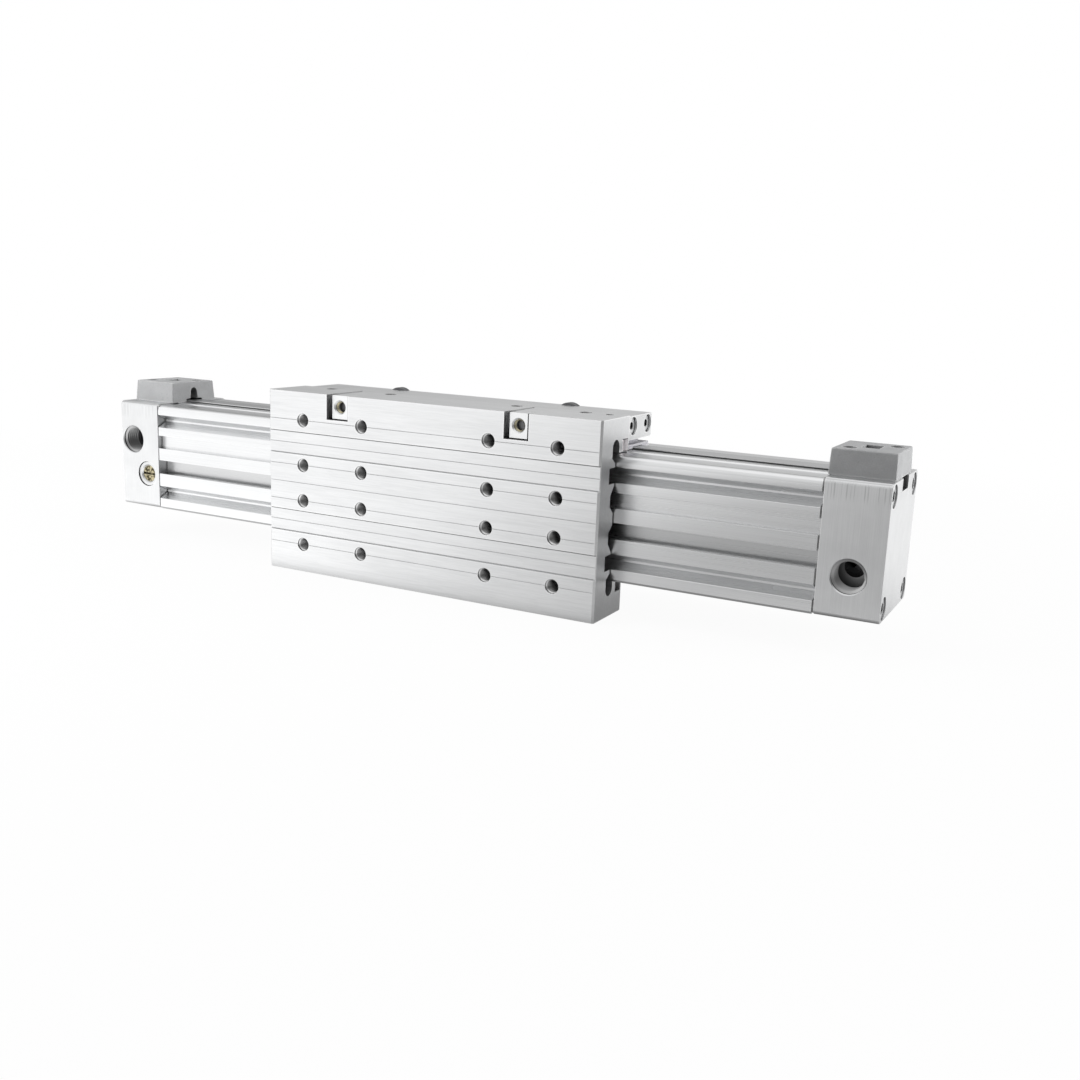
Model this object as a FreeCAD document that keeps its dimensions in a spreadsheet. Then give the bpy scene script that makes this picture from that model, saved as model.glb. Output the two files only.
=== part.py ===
import FreeCAD, Part
import os
import re
import Sketcher

# Rodless pneumatic cylinder with an externally guided carriage, in millimetres.
# X runs along the barrel, Y points away from the carriage plate, Z points up.
# The origin is the middle of the underside of the barrel and its end caps.

doc = FreeCAD.newDocument("rodless_cylinder")
sheet = doc.addObject("Spreadsheet::Sheet", "Sizes")

# Driving sizes
SIZES = {
    # barrel
    "barrel_run": 330.0,
    "body_depth": 48.0,
    "body_height": 52.0,
    "corner_round": 2.5,
    "corner_cut": 0.75,
    "base_chamfer": 1.0,
    "bore_dia": 32.0,
    "bore_drop": 1.5,
    "top_slot_width": 6.5,
    "band_seat_width": 10.0,
    "band_seat_height": 17.2,
    "shoulder_drop": 0.5,
    "centre_rail_width": 22.0,
    "groove_from_edge": 8.3,
    "groove_mouth": 6.2,
    "groove_depth": 5.2,
    "groove_floor": 0.8,
    "recess_rise": 7.4,
    "recess_width": 6.2,
    "recess_depth": 2.6,
    "sensor_drop": 5.0,
    "sensor_mouth": 6.6,
    "sensor_depth": 5.4,
    "sensor_lip": 2.0,
    "sensor_room": 8.4,
    # end caps
    "cap_run": 24.5,
    "cap_round": 2.0,
    "gasket_thick": 0.6,
    "gasket_inset": 0.7,
    "spigot_run": 8.0,
    "spigot_play": 0.15,
    "cushion_bore_dia": 14.0,
    "cushion_bore_depth": 25.0,
    "port_dia": 13.16,
    "port_thread_depth": 11.0,
    "port_chamfer": 0.4,
    "port_low_from_end": 12.7,
    "port_low_drop": 8.3,
    "port_high_from_end": 7.7,
    "port_high_rise": 8.7,
    "port_feed_dia": 8.0,
    "port_feed_rise": 1.7,
    "needle_from_end": 16.7,
    "needle_drop": 7.9,
    "needle_sink_dia": 12.4,
    "needle_sink_depth": 8.0,
    "needle_feed_dia": 4.0,
    "tie_inset_y": 5.4,
    "tie_inset_z": 5.1,
    "tie_screw_dia": 5.0,
    "tie_head_dia": 8.5,
    "tie_head_run": 5.0,
    "tie_sink_dia": 8.9,
    "tie_sink_depth": 5.6,
    "tie_grip": 16.0,
    "tie_end_play": 1.0,
    "tie_key": 4.0,
    "hole_play": 0.25,
    "band_channel_width": 10.8,
    "band_channel_depth": 5.0,
    "base_hole_dia": 5.0,
    "base_hole_depth": 8.0,
    "base_spacing_y": 24.0,
    # band covers
    "cover_width": 29.6,
    "cover_height": 9.8,
    "cover_overhang": 1.4,
    "cover_set_back": 0.8,
    "cover_draft": 0.8,
    "cover_window_run": 6.5,
    "cover_window_width": 9.4,
    "cover_arch_width": 4.4,
    "cover_arch_height": 7.0,
    "cover_gap_height": 1.4,
    "cover_gap_end": 6.0,
    "cover_screw_dia": 3.0,
    "cover_head_dia": 5.4,
    "cover_head_run": 3.0,
    "cover_hole_dia": 3.6,
    "cover_screw_inboard_x": 8.0,
    "cover_screw_outboard_x": 6.6,
    "cover_screw_y": 7.4,
    "cover_screw_sink": 6.0,
    "cover_screw_grip": 5.0,
    "cover_screw_key": 2.5,
    "screw_end_play": 0.6,
    # bands
    "outer_band_width": 9.8,
    "outer_band_thick": 0.8,
    "outer_band_rib": 1.4,
    "outer_band_rib_width": 5.6,
    "inner_band_width": 9.6,
    "inner_band_thick": 0.7,
    "band_play": 0.1,
    "band_lift_play": 0.2,
    "band_flat_margin": 6.0,
    "band_ramp_margin": 8.0,
    "inner_drop": 8.6,
    "inner_flat_margin": 1.0,
    "inner_ramp_margin": 8.0,
    # carriage plate
    "plate_run": 164.0,
    "hook_height": 14.5,
    "plate_wall": 13.7,
    "hook_reach": 11.5,
    "plate_gap": 0.8,
    "plate_relief": 3.2,
    "wall_drop": 1.8,
    "land_drop": 4.0,
    "land_width": 0.9,
    "relief_slope": 3.8,
    "relief_end": 5.2,
    "middle_land": 2.4,
    "foot_gap": 0.4,
    "hook_groove_from_edge": 2.5,
    "hook_groove_dia": 6.4,
    "hook_groove_height": 2.3,
    "strip_slot_from_edge": 5.6,
    "strip_slot_width": 5.0,
    "strip_slot_depth": 5.2,
    "shoe_slot_height": 6.4,
    "shoe_slot_depth": 5.2,
    "front_band_height": 10.2,
    "front_band_depth": 0.5,
    "scribe_width": 0.36,
    "scribe_depth": 0.2,
    "ledge_line_width": 0.5,
    "ledge_line_depth": 0.3,
    "edge_chamfer": 0.6,
    "plate_hole_dia": 6.0,
    "plate_hole_chamfer": 0.15,
    "hole_inner_x": 31.5,
    "hole_outer_x": 63.0,
    "hole_inner_z": 8.0,
    "hole_outer_z": 28.0,
    "nut_x": 44.2,
    "nut_width": 8.1,
    "nut_height": 10.2,
    "nut_thick": 6.4,
    "nut_side_play": 1.6,
    "nut_play": 0.5,
    "nut_set_back": 2.0,
    "nut_track_depth": 0.4,
    "bolt_dia": 5.0,
    "bolt_head_dia": 12.4,
    "bolt_head_run": 4.0,
    "bolt_head_rim": 0.8,
    "bolt_sink": 3.2,
    "bolt_key": 4.0,
    "bolt_socket_depth": 2.4,
    "guide_screw_inner_x": 32.0,
    "guide_screw_outer_x": 64.0,
    "guide_screw_dia": 5.0,
    "guide_screw_key": 2.5,
    "guide_socket_depth": 2.0,
    "set_screw_sink": 0.4,
    "lube_hole_x": 74.6,
    "lube_hole_dia": 3.4,
    "lube_hole_depth": 8.0,
    # guides
    "shoe_run": 50.0,
    "shoe_inner_x": 26.0,
    "shoe_play": 0.2,
    "shoe_tip": 0.5,
    "strip_inset": 1.6,
    "strip_top_gap": 0.9,
    "strip_play": 0.15,
    # yoke
    "yoke_half": 68.0,
    "yoke_side_gap": 1.0,
    "yoke_lift": 4.2,
    "yoke_thick": 9.8,
    "yoke_joint": 0.2,
    "yoke_channel_width": 11.2,
    "yoke_channel_depth": 1.7,
    "yoke_end_half": 81.6,
    "yoke_screw_inset": 4.1,
    "yoke_screw_rise": 0.7,
    "yoke_screw_dia": 4.0,
    "yoke_screw_head_dia": 6.6,
    "yoke_screw_head_run": 4.0,
    "yoke_screw_sink_dia": 7.4,
    "yoke_screw_sink": 5.0,
    "yoke_screw_grip": 8.0,
    "yoke_screw_key": 3.0,
    "wiper_side_inset": 0.2,
    "wiper_run": 10.0,
    "wiper_set_back": 0.8,
    "wiper_lip": 1.7,
    "wiper_neck_width": 15.0,
    "wiper_neck_inset": 3.2,
    # bridge and pistons
    "tongue_width": 5.6,
    "tongue_half": 23.0,
    "flange_half": 30.0,
    "flange_side_gap": 0.5,
    "flange_thick": 2.8,
    "bridge_screw_x": 20.0,
    "bridge_screw_inset": 3.7,
    "bridge_screw_dia": 3.0,
    "bridge_screw_grip": 6.0,
    "bridge_head_dia": 6.0,
    "bridge_head_run": 1.7,
    "bridge_key": 2.0,
    "bridge_socket_depth": 1.2,
    "cut_margin": 1.0,
    "carrier_play": 0.7,
    "carrier_half": 58.0,
    "carrier_channel_width": 10.6,
    "channel_clearance": 0.8,
    "channel_height": 3.6,
    "carrier_open_half": 25.0,
    "piston_play": 0.3,
    "piston_run": 18.5,
    "seal_from_face": 2.5,
    "seal_run": 4.0,
    "seal_play": 0.2,
    "seal_groove": 3.0,
    "wear_run": 4.0,
    "wear_from_face": 12.0,
    "wear_groove": 1.6,
    "spear_dia": 11.6,
    "spear_run": 14.0,
    "cushion_seal_run": 3.0,
    "cushion_seal_wall": 2.0,
    "cushion_seal_from_end": 1.0,
    "cushion_seal_play": 0.3,
    "magnet_run": 6.0,
    "magnet_dia": 24.0,
    "magnet_hole_dia": 10.0,
    "piston_screw_dia": 6.0,
    "piston_screw_grip": 16.0,
    "piston_head_dia": 9.0,
    "piston_head_run": 5.0,
    "piston_head_sink": 2.0,
    "piston_key": 5.0,
    # small parts
    "o_ring_dia": 2.0,
    "bushing_dia": 11.8,
    "bushing_run": 7.4,
    "bushing_bore": 8.0,
    "needle_play": 0.08,
    "needle_stem_dia": 3.4,
    "needle_set_back": 0.8,
    "needle_overlap": 0.4,
    "needle_neck_offset": 0.6,
    "needle_neck_run": 1.2,
    "needle_neck_depth": 1.3,
    "needle_ring_dia": 1.1,
    "lead_chamfer": 0.6,
    "needle_head_run": 5.0,
    "needle_shank_run": 3.4,
    "needle_tip_run": 5.0,
    "needle_tip_dia": 2.6,
    "needle_slot_width": 1.2,
    "needle_slot_depth": 1.6,
    "plug_run": 8.0,
    "plug_key": 6.0,
    "plug_socket_depth": 4.2,
    "plug_set_back": 0.5,
    "clamp_run": 9.0,
    "clamp_width": 9.6,
    "clamp_height": 3.2,
    "clamp_screw_dia": 4.0,
    "clamp_screw_run": 6.0,
    "clamp_screw_key": 2.0,
    "clamp_socket_depth": 2.0,
    "clamp_lift": 0.7,
    "clamp_gap": 0.6,
}

for row, (alias, value) in enumerate(SIZES.items(), start=1):
    sheet.set("A%d" % row, alias)
    sheet.set("B%d" % row, repr(value))
    sheet.setAlias("B%d" % row, alias)
doc.recompute()

WORD = re.compile(r"[a-z][a-z_0-9]*")


def bound(text):
    """Point each size name in an expression at its cell."""
    return WORD.sub(lambda m: "Sizes." + m.group() if m.group() in SIZES else m.group(), str(text))


def bind(obj, prop, text):
    obj.setExpression(prop, bound(text))


def place(obj, x, y, z):
    bind(obj, "Placement.Base.x", x)
    bind(obj, "Placement.Base.y", y)
    bind(obj, "Placement.Base.z", z)


def block(cx, cy, cz, dx, dy, dz):
    """Box given by its middle and its three sides."""
    box = doc.addObject("Part::Box", "block")
    bind(box, "Length", dx)
    bind(box, "Width", dy)
    bind(box, "Height", dz)
    place(box, f"{cx} - ({dx}) / 2", f"{cy} - ({dy}) / 2", f"{cz} - ({dz}) / 2")
    return box


TURN = {
    "x": FreeCAD.Rotation(FreeCAD.Vector(0, 1, 0), 90),
    "y": FreeCAD.Rotation(FreeCAD.Vector(1, 0, 0), -90),
    "z": FreeCAD.Rotation(),
}


def stand(obj, axis, cx, cy, cz, run):
    """Turn a round solid onto an axis and centre it there."""
    obj.Placement = FreeCAD.Placement(FreeCAD.Vector(), TURN[axis])
    half = {"x": "0", "y": "0", "z": "0"}
    half[axis] = f"({run}) / 2"
    place(obj, f"{cx} - {half['x']}", f"{cy} - {half['y']}", f"{cz} - {half['z']}")


def rod(axis, cx, cy, cz, dia, run):
    """Cylinder along an axis, given by its middle."""
    pin = doc.addObject("Part::Cylinder", "rod")
    bind(pin, "Radius", f"({dia}) / 2")
    bind(pin, "Height", run)
    stand(pin, axis, cx, cy, cz, run)
    return pin


def cone(axis, cx, cy, cz, dia_low, dia_high, run):
    """Cone along an axis; the first diameter is at its lower end."""
    taper = doc.addObject("Part::Cone", "cone")
    bind(taper, "Radius1", f"({dia_low}) / 2")
    bind(taper, "Radius2", f"({dia_high}) / 2")
    bind(taper, "Height", run)
    stand(taper, axis, cx, cy, cz, run)
    return taper


def ring(axis, cx, cy, cz, middle_dia, wire_dia):
    """O-ring with its hole along an axis."""
    torus = doc.addObject("Part::Torus", "ring")
    bind(torus, "Radius1", f"({middle_dia}) / 2")
    bind(torus, "Radius2", f"({wire_dia}) / 2")
    stand(torus, axis, cx, cy, cz, "0")
    return torus


def hexagon(axis, cx, cy, cz, key, run):
    """Hexagonal bar along an axis, sized across its flats."""
    bar = doc.addObject("Part::Prism", "hexagon")
    bar.Polygon = 6
    bind(bar, "Circumradius", f"({key}) / sqrt(3)")
    bind(bar, "Height", run)
    stand(bar, axis, cx, cy, cz, run)
    return bar


def wedge(low_face, high_face, depth, run, cx, face_y, cz):
    """Bar along X whose height changes from low_face at face_y to high_face one depth further."""
    bar = doc.addObject("Part::Wedge", "wedge")
    for prop in ("Xmin", "X2min"):
        bind(bar, prop, f"-({run}) / 2")
    for prop in ("Xmax", "X2max"):
        bind(bar, prop, f"({run}) / 2")
    bind(bar, "Ymin", "0")
    bind(bar, "Ymax", depth)
    bind(bar, "Zmin", f"-({low_face}) / 2")
    bind(bar, "Zmax", f"({low_face}) / 2")
    bind(bar, "Z2min", f"-({high_face}) / 2")
    bind(bar, "Z2max", f"({high_face}) / 2")
    place(bar, cx, face_y, cz)
    return bar


def upright_taper(cx, cy, foot_z, dx, dy, dx_top, dy_top, height):
    """Block that narrows upwards."""
    body = doc.addObject("Part::Wedge", "taper")
    for prop, text in (
        ("Xmin", f"-({dx}) / 2"), ("Xmax", f"({dx}) / 2"),
        ("Zmin", f"-({dy}) / 2"), ("Zmax", f"({dy}) / 2"),
        ("X2min", f"-({dx_top}) / 2"), ("X2max", f"({dx_top}) / 2"),
        ("Z2min", f"-({dy_top}) / 2"), ("Z2max", f"({dy_top}) / 2"),
        ("Ymin", "0"), ("Ymax", height),
    ):
        bind(body, prop, text)
    body.Placement = FreeCAD.Placement(FreeCAD.Vector(), FreeCAD.Rotation(FreeCAD.Vector(1, 0, 0), 90))
    place(body, cx, cy, foot_z)
    return body


def fuse(pieces):
    if len(pieces) == 1:
        return pieces[0]
    joined = doc.addObject("Part::MultiFuse", "joined")
    joined.Shapes = pieces
    return joined


def cut(base, tools):
    carved = doc.addObject("Part::Cut", "carved")
    carved.Base = base
    carved.Tool = fuse(tools)
    return carved


def group(pieces):
    """Separate like solids kept in one node."""
    bundle = doc.addObject("Part::Compound", "group")
    bundle.Links = pieces
    return bundle


def origin_plane(body, role):
    return next(item for item in body.Origin.OriginFeatures if item.Role == role)


def outline(role, points, run):
    """Body padded both ways from an origin plane, from a closed outline of size expressions."""
    body = doc.addObject("PartDesign::Body", "profile")
    sketch = body.newObject("Sketcher::SketchObject", "outline")
    sketch.AttachmentSupport = [(origin_plane(body, role), "")]
    sketch.MapMode = "FlatFace"
    flat = [(worth(across), worth(up)) for across, up in points]
    count = len(points)
    for i in range(count):
        start = FreeCAD.Vector(*flat[i], 0)
        end = FreeCAD.Vector(*flat[(i + 1) % count], 0)
        sketch.addGeometry(Part.LineSegment(start, end), False)
    for i in range(count):
        sketch.addConstraint(Sketcher.Constraint("Coincident", i, 2, (i + 1) % count, 1))
    for i, (across, up) in enumerate(points):
        level = sketch.addConstraint(Sketcher.Constraint("DistanceX", -1, 1, i, 1, flat[i][0]))
        sketch.setExpression(f"Constraints[{level}]", bound(across))
        level = sketch.addConstraint(Sketcher.Constraint("DistanceY", -1, 1, i, 1, flat[i][1]))
        sketch.setExpression(f"Constraints[{level}]", bound(up))
    pad = body.newObject("PartDesign::Pad", "pad")
    pad.Profile = sketch
    pad.SideType = "Symmetric"
    bind(pad, "Length", run)
    return body


def worth(text):
    """Value of a size expression now, for a sketch's first guess."""
    probe = sheet.evalExpression(bound(text).replace("Sizes.", ""))
    return float(getattr(probe, "Value", probe))


def round_edges(base, size, wanted):
    """Fillet the edges that the test accepts."""
    doc.recompute()
    fillet = doc.addObject("Part::Fillet", "rounded")
    fillet.Base = base
    fillet.Edges = [(i, size, size) for i, edge in enumerate(base.Shape.Edges, start=1) if wanted(edge)]
    return fillet


def runs_along_x(edge):
    span = edge.BoundBox
    return span.XLength > 1 and span.YLength < 1e-6 and span.ZLength < 1e-6


NODES = {}
SOCKET_SHARE = 0.6
# head diameter, head run, shank diameter and key of each kind of socket head screw
SCREWS = {
    "tie": ("tie_head_dia", "tie_head_run", "tie_screw_dia", "tie_key"),
    "cover": ("cover_head_dia", "cover_head_run", "cover_screw_dia", "cover_screw_key"),
    "yoke": ("yoke_screw_head_dia", "yoke_screw_head_run", "yoke_screw_dia", "yoke_screw_key"),
    "piston": ("piston_head_dia", "piston_head_run", "piston_screw_dia", "piston_key"),
}


def node(name, solid):
    """Give a finished piece the name of its file."""
    solid.Label = name
    NODES[name] = solid


def reflect(points):
    """Outline of the front half, then the same points across the middle plane, backwards."""
    return points + [(f"-({across})", up) for across, up in reversed(points)]


# Heights and depths that several pieces share
HALF_DEPTH = "body_depth / 2"
MID_HEIGHT = "body_height / 2"
CAP_FACE = "barrel_run / 2"
CAP_END = "barrel_run / 2 + cap_run"
BARREL_END = "(barrel_run / 2 - gasket_thick)"

# barrel section
BORE = f"({MID_HEIGHT} - bore_drop)"
BORE_TOP_SEAT = f"({BORE} + band_seat_height)"
GUIDE_SPACING = "(body_height - 2 * groove_from_edge)"
GROOVE_HIGH = f"({MID_HEIGHT} + {GUIDE_SPACING} / 2)"
GROOVE_LOW = f"({MID_HEIGHT} - {GUIDE_SPACING} / 2)"
RECESS = f"({MID_HEIGHT} + recess_rise)"
SENSOR = f"({MID_HEIGHT} - sensor_drop)"

# end caps
PORT_LOW = f"({BORE} - port_low_drop)"
PORT_HIGH = f"({BORE} + port_high_rise)"
NEEDLE = f"({BORE} - needle_drop)"
TIE_SPACING_Y = "(body_depth - 2 * tie_inset_y)"
TIE_SPACING_Z = "(body_height - 2 * tie_inset_z)"

# carriage plate
PLATE_HEIGHT = "(body_height + 2 * hook_height)"
PLATE_TOP = f"({MID_HEIGHT} + {PLATE_HEIGHT} / 2)"
PLATE_BASE = f"({MID_HEIGHT} - {PLATE_HEIGHT} / 2)"
PLATE_FRONT = f"({HALF_DEPTH} + plate_gap + plate_wall)"
PLATE_REAR = f"({HALF_DEPTH} - hook_reach)"
HOOK_INNER = f"({HALF_DEPTH} - hook_groove_from_edge)"
STRIP_FRONT = f"({HALF_DEPTH} - strip_slot_from_edge)"
STRIP_REAR = f"({STRIP_FRONT} - strip_slot_width)"
STRIP_ROOF = "(body_height + foot_gap + strip_slot_depth)"
STRIP_MIDDLE = f"(-({STRIP_FRONT} + {STRIP_REAR}) / 2)"

# yoke, bands and bridge
YOKE_HALF_WIDTH = f"({PLATE_REAR} - yoke_side_gap)"
YOKE_SCREW_Y = f"({YOKE_HALF_WIDTH} - yoke_screw_inset)"
BRIDGE_SCREW_Y = f"({YOKE_HALF_WIDTH} - bridge_screw_inset)"
FLANGE_WIDTH = f"(2 * {YOKE_HALF_WIDTH} - 2 * flange_side_gap)"
YOKE_BASE = "(body_height + yoke_lift)"
YOKE_MIDDLE = f"({YOKE_BASE} + yoke_thick / 2)"
YOKE_SCREW_Z = f"({YOKE_MIDDLE} + yoke_screw_rise)"
WIPER_WIDTH = f"(2 * {YOKE_HALF_WIDTH} - 2 * wiper_side_inset)"
BAND_RISE = "(yoke_lift + band_lift_play)"
BAND_FLAT = "(flange_half + band_flat_margin)"
BAND_RAMP = "(yoke_half - band_ramp_margin)"
INNER_FLAT = "(carrier_open_half + inner_flat_margin)"
INNER_RAMP = "(carrier_half - inner_ramp_margin)"
BAND_UNDER = "(band_seat_height - inner_band_thick - band_play)"
CHANNEL_FLOOR = f"({BAND_UNDER} - inner_drop - channel_clearance)"
CHANNEL_ROOF = f"({CHANNEL_FLOOR} + channel_height)"
PISTON_DIA = "(bore_dia - 2 * piston_play)"
SEAL_DIA = "(bore_dia - 2 * seal_play)"
CARRIER_DIA = "(bore_dia - 2 * carrier_play)"
SIDES = {"left": -1, "right": 1}


def tie_spots():
    """Middles of the four cap screws, as Y and Z."""
    for row in (-1, 1):
        for level in (-1, 1):
            yield f"{row} * {TIE_SPACING_Y} / 2", f"{MID_HEIGHT} + {level} * {TIE_SPACING_Z} / 2"


def barrel():
    """Slotted extrusion: bore, band seat, V grooves, sensor slots and screw cores."""
    top, half = "body_height", HALF_DEPTH
    shoulder = "body_height - shoulder_drop"
    section = reflect([
        (f"-({half})", "base_chamfer"),
        (f"-({half})", f"{shoulder} - corner_round"),
        (f"-({half}) + corner_cut", f"{shoulder} - corner_cut"),
        (f"-({half}) + corner_round", shoulder),
        ("-centre_rail_width / 2 - shoulder_drop", shoulder),
        ("-centre_rail_width / 2", top),
    ])
    section += [(f"{half} - base_chamfer", "0"), (f"-({half}) + base_chamfer", "0")]
    run = "barrel_run - 2 * gasket_thick"
    bar = outline("YZ_Plane", section, run)
    tools = [
        rod("x", "0", "0", BORE, "bore_dia", run),
        block("0", "0", f"({BORE_TOP_SEAT} + {BORE}) / 2", run, "band_seat_width", "band_seat_height"),
        block("0", "0", "body_height", run, "top_slot_width", "body_height"),
    ]
    for height in (GROOVE_HIGH, GROOVE_LOW):
        front, rear = f"-({half})", f"{half} - groove_depth"
        tools.append(wedge("groove_mouth", "groove_floor", "groove_depth", run, "0", front, height))
        tools.append(wedge("groove_floor", "groove_mouth", "groove_depth", run, "0", rear, height))
    for side in (-1, 1):
        face = f"{side} * ({half})"
        tools.append(block("0", face, RECESS, run, "2 * recess_depth", "recess_width"))
        tools.append(block("0", face, SENSOR, run, "2 * sensor_depth", "sensor_mouth"))
        inner = f"{side} * ({half} - (sensor_lip + sensor_depth) / 2)"
        tools.append(block("0", inner, SENSOR, run, "sensor_depth - sensor_lip", "sensor_room"))
    for y, z in tie_spots():
        for end in (-1, 1):
            middle = f"{end} * (barrel_run / 2 - gasket_thick - tie_grip / 2)"
            tools.append(rod("x", middle, y, z, "tie_screw_dia", "tie_grip"))
    node("barrel", cut(bar, tools))


def end_cap(name, side):
    """Machined cap: spigot, two ports, cushion screw seat, screw holes, band channel, base threads."""
    def across(text):
        return f"{side} * ({text})"

    face, end, half = CAP_FACE, CAP_END, HALF_DEPTH
    slab = block(across(f"{face} + cap_run / 2"), "0", MID_HEIGHT, "cap_run", "body_depth", "body_height")
    slab = round_edges(slab, SIZES["cap_round"], runs_along_x)
    spigot = rod("x", across(f"{face} - spigot_run / 2"), "0", BORE,
                 "bore_dia - 2 * spigot_play", "spigot_run")
    groove_out = rod("x", across(f"{face} - spigot_run / 2"), "0", BORE,
                     "bore_dia", "o_ring_dia + 2 * band_play")
    groove_in = rod("x", across(f"{face} - spigot_run / 2"), "0", BORE,
                    "bore_dia - 2 * o_ring_dia - 4 * band_play", "o_ring_dia + 2 * band_play")
    collar = cut(spigot, [cut(groove_out, [groove_in])])
    body = fuse([slab, collar])
    cushion_mid = f"{face} - spigot_run + cushion_bore_depth / 2"
    tools = [
        rod("x", across(cushion_mid), "0", BORE, "cushion_bore_dia", "cushion_bore_depth"),
        rod("x", across(f"{face} - spigot_run + cushion_seal_from_end + cushion_seal_run / 2"), "0", BORE,
            "cushion_bore_dia + 2 * cushion_seal_wall", "cushion_seal_run"),
        block(across(f"{face} + cap_run / 2"), "0", "body_height - band_channel_depth / 2",
              "cap_run", "band_channel_width", "band_channel_depth"),
    ]
    # ports
    for from_end, height, edge, rise in (
        ("port_low_from_end", PORT_LOW, -1, 1),
        ("port_high_from_end", PORT_HIGH, 1, -1),
    ):
        x = across(f"{end} - {from_end}")
        face_y = across(f"{edge} * ({half})")
        inside = across(f"{edge} * ({half} - port_thread_depth / 2)")
        tools.append(rod("y", x, inside, height, "port_dia", "port_thread_depth"))
        mouth = across(f"{edge} * ({half} - port_chamfer / 2)")
        wide, narrow = "port_dia + 2 * port_chamfer", "port_dia"
        ends = (wide, narrow) if side * edge < 0 else (narrow, wide)
        tools.append(cone("y", x, mouth, height, *ends, "port_chamfer"))
        feed = f"{height} + {rise} * port_feed_rise"
        tools.append(rod("y", x, f"{face_y} / 2", feed, "port_feed_dia", half))
    # seat of the cushion screw
    needle_x = across(f"{end} - needle_from_end")
    tools.append(rod("y", needle_x, across(f"{half} - needle_sink_depth / 2"), NEEDLE,
                     "needle_sink_dia", "needle_sink_depth"))
    tools.append(rod("y", needle_x, across(f"({half}) / 2"), NEEDLE, "needle_feed_dia", half))
    # screw holes
    middle = across(f"{face} + cap_run / 2")
    for y, z in tie_spots():
        tools.append(rod("x", middle, y, z, "tie_screw_dia + 2 * hole_play", "cap_run"))
        tools.append(rod("x", across(f"{end} - tie_sink_depth / 2"), y, z, "tie_sink_dia", "tie_sink_depth"))
    for row in (-1, 1):
        tools.append(rod("z", middle, f"{row} * base_spacing_y / 2",
                         "base_hole_depth / 2", "base_hole_dia", "base_hole_depth"))
    for sign, inboard in ((1, "cover_screw_inboard_x"), (-1, "cover_screw_outboard_x")):
        x = across(f"{face} + cap_run / 2 - {sign} * {inboard}")
        tools.append(rod("z", x, across(f"-{sign} * cover_screw_y"), "body_height - cover_screw_grip / 2",
                         "cover_screw_dia", "cover_screw_grip"))
    node(name, cut(body, tools))


def cap_seals(name, side):
    """Flat gasket behind the cap and the O-ring on its spigot."""
    middle = f"{side} * (barrel_run / 2 - gasket_thick / 2)"
    sheet_y, sheet_z = "body_depth - 2 * gasket_inset", "body_height - 2 * gasket_inset"
    pad = block(middle, "0", MID_HEIGHT, "gasket_thick", sheet_y, sheet_z)
    tools = [
        rod("x", middle, "0", BORE, "bore_dia", "gasket_thick"),
        block(middle, "0", "body_height", "gasket_thick", "band_channel_width",
              f"2 * (body_height - {BORE_TOP_SEAT} + band_seat_height / 2)"),
    ]
    for y, z in tie_spots():
        tools.append(rod("x", middle, y, z, "tie_screw_dia + 2 * hole_play", "gasket_thick"))
    for row in (-1, 1):
        for height in (GROOVE_HIGH, GROOVE_LOW):
            tools.append(block(middle, f"{row} * ({HALF_DEPTH})", height, "gasket_thick",
                               "2 * groove_depth", "groove_mouth"))
        tools.append(block(middle, f"{row} * ({HALF_DEPTH})", SENSOR, "gasket_thick",
                           "2 * sensor_depth", "sensor_room"))
        tools.append(block(middle, f"{row} * ({HALF_DEPTH})", RECESS, "gasket_thick",
                           "2 * recess_depth", "recess_width"))
    node(f"cap_gasket_{name}", cut(pad, tools))
    node(f"cap_o_ring_{name}", ring("x", f"{side} * (barrel_run / 2 - spigot_run / 2)", "0", BORE,
                                    "bore_dia - o_ring_dia - 2 * band_play", "o_ring_dia"))


def socket_screw(kind, axis, sign, x, y, z, shank_run):
    """Socket head screw; the point is where head and shank meet, sign points from there to the head."""
    def shifted(amount):
        spot = {"x": x, "y": y, "z": z}
        spot[axis] = f"{spot[axis]} + {sign} * ({amount})"
        return spot["x"], spot["y"], spot["z"]

    head_dia, head_run, shank_dia, key = SCREWS[kind]
    head = rod(axis, *shifted(f"{head_run} / 2"), head_dia, head_run)
    shank = rod(axis, *shifted(f"-({shank_run}) / 2"), shank_dia, shank_run)
    deep = f"{key} * {SOCKET_SHARE}"
    socket = hexagon(axis, *shifted(f"{head_run} - {deep} / 2"), key, deep)
    return cut(fuse([head, shank]), [socket])


def cap_screws(name, side):
    """Four screws that pull the cap onto the barrel."""
    screws = []
    seat = f"{side} * ({CAP_END} - tie_sink_depth)"
    shank = "cap_run - tie_sink_depth + tie_grip - tie_end_play"
    for y, z in tie_spots():
        screws.append(socket_screw("tie", "x", side, seat, y, z, shank))
    node(f"cap_screws_{name}", group(screws))


def cushion_seal(name, side):
    """Lip ring in the cap that closes on the cushion spear."""
    x = f"{side} * ({CAP_FACE} - spigot_run + cushion_seal_from_end + cushion_seal_run / 2)"
    outer = rod("x", x, "0", BORE, "cushion_bore_dia + 2 * cushion_seal_wall", "cushion_seal_run")
    inner = rod("x", x, "0", BORE, "spear_dia + 2 * cushion_seal_play", "cushion_seal_run")
    node(f"cushion_seal_{name}", cut(outer, [inner]))


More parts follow.
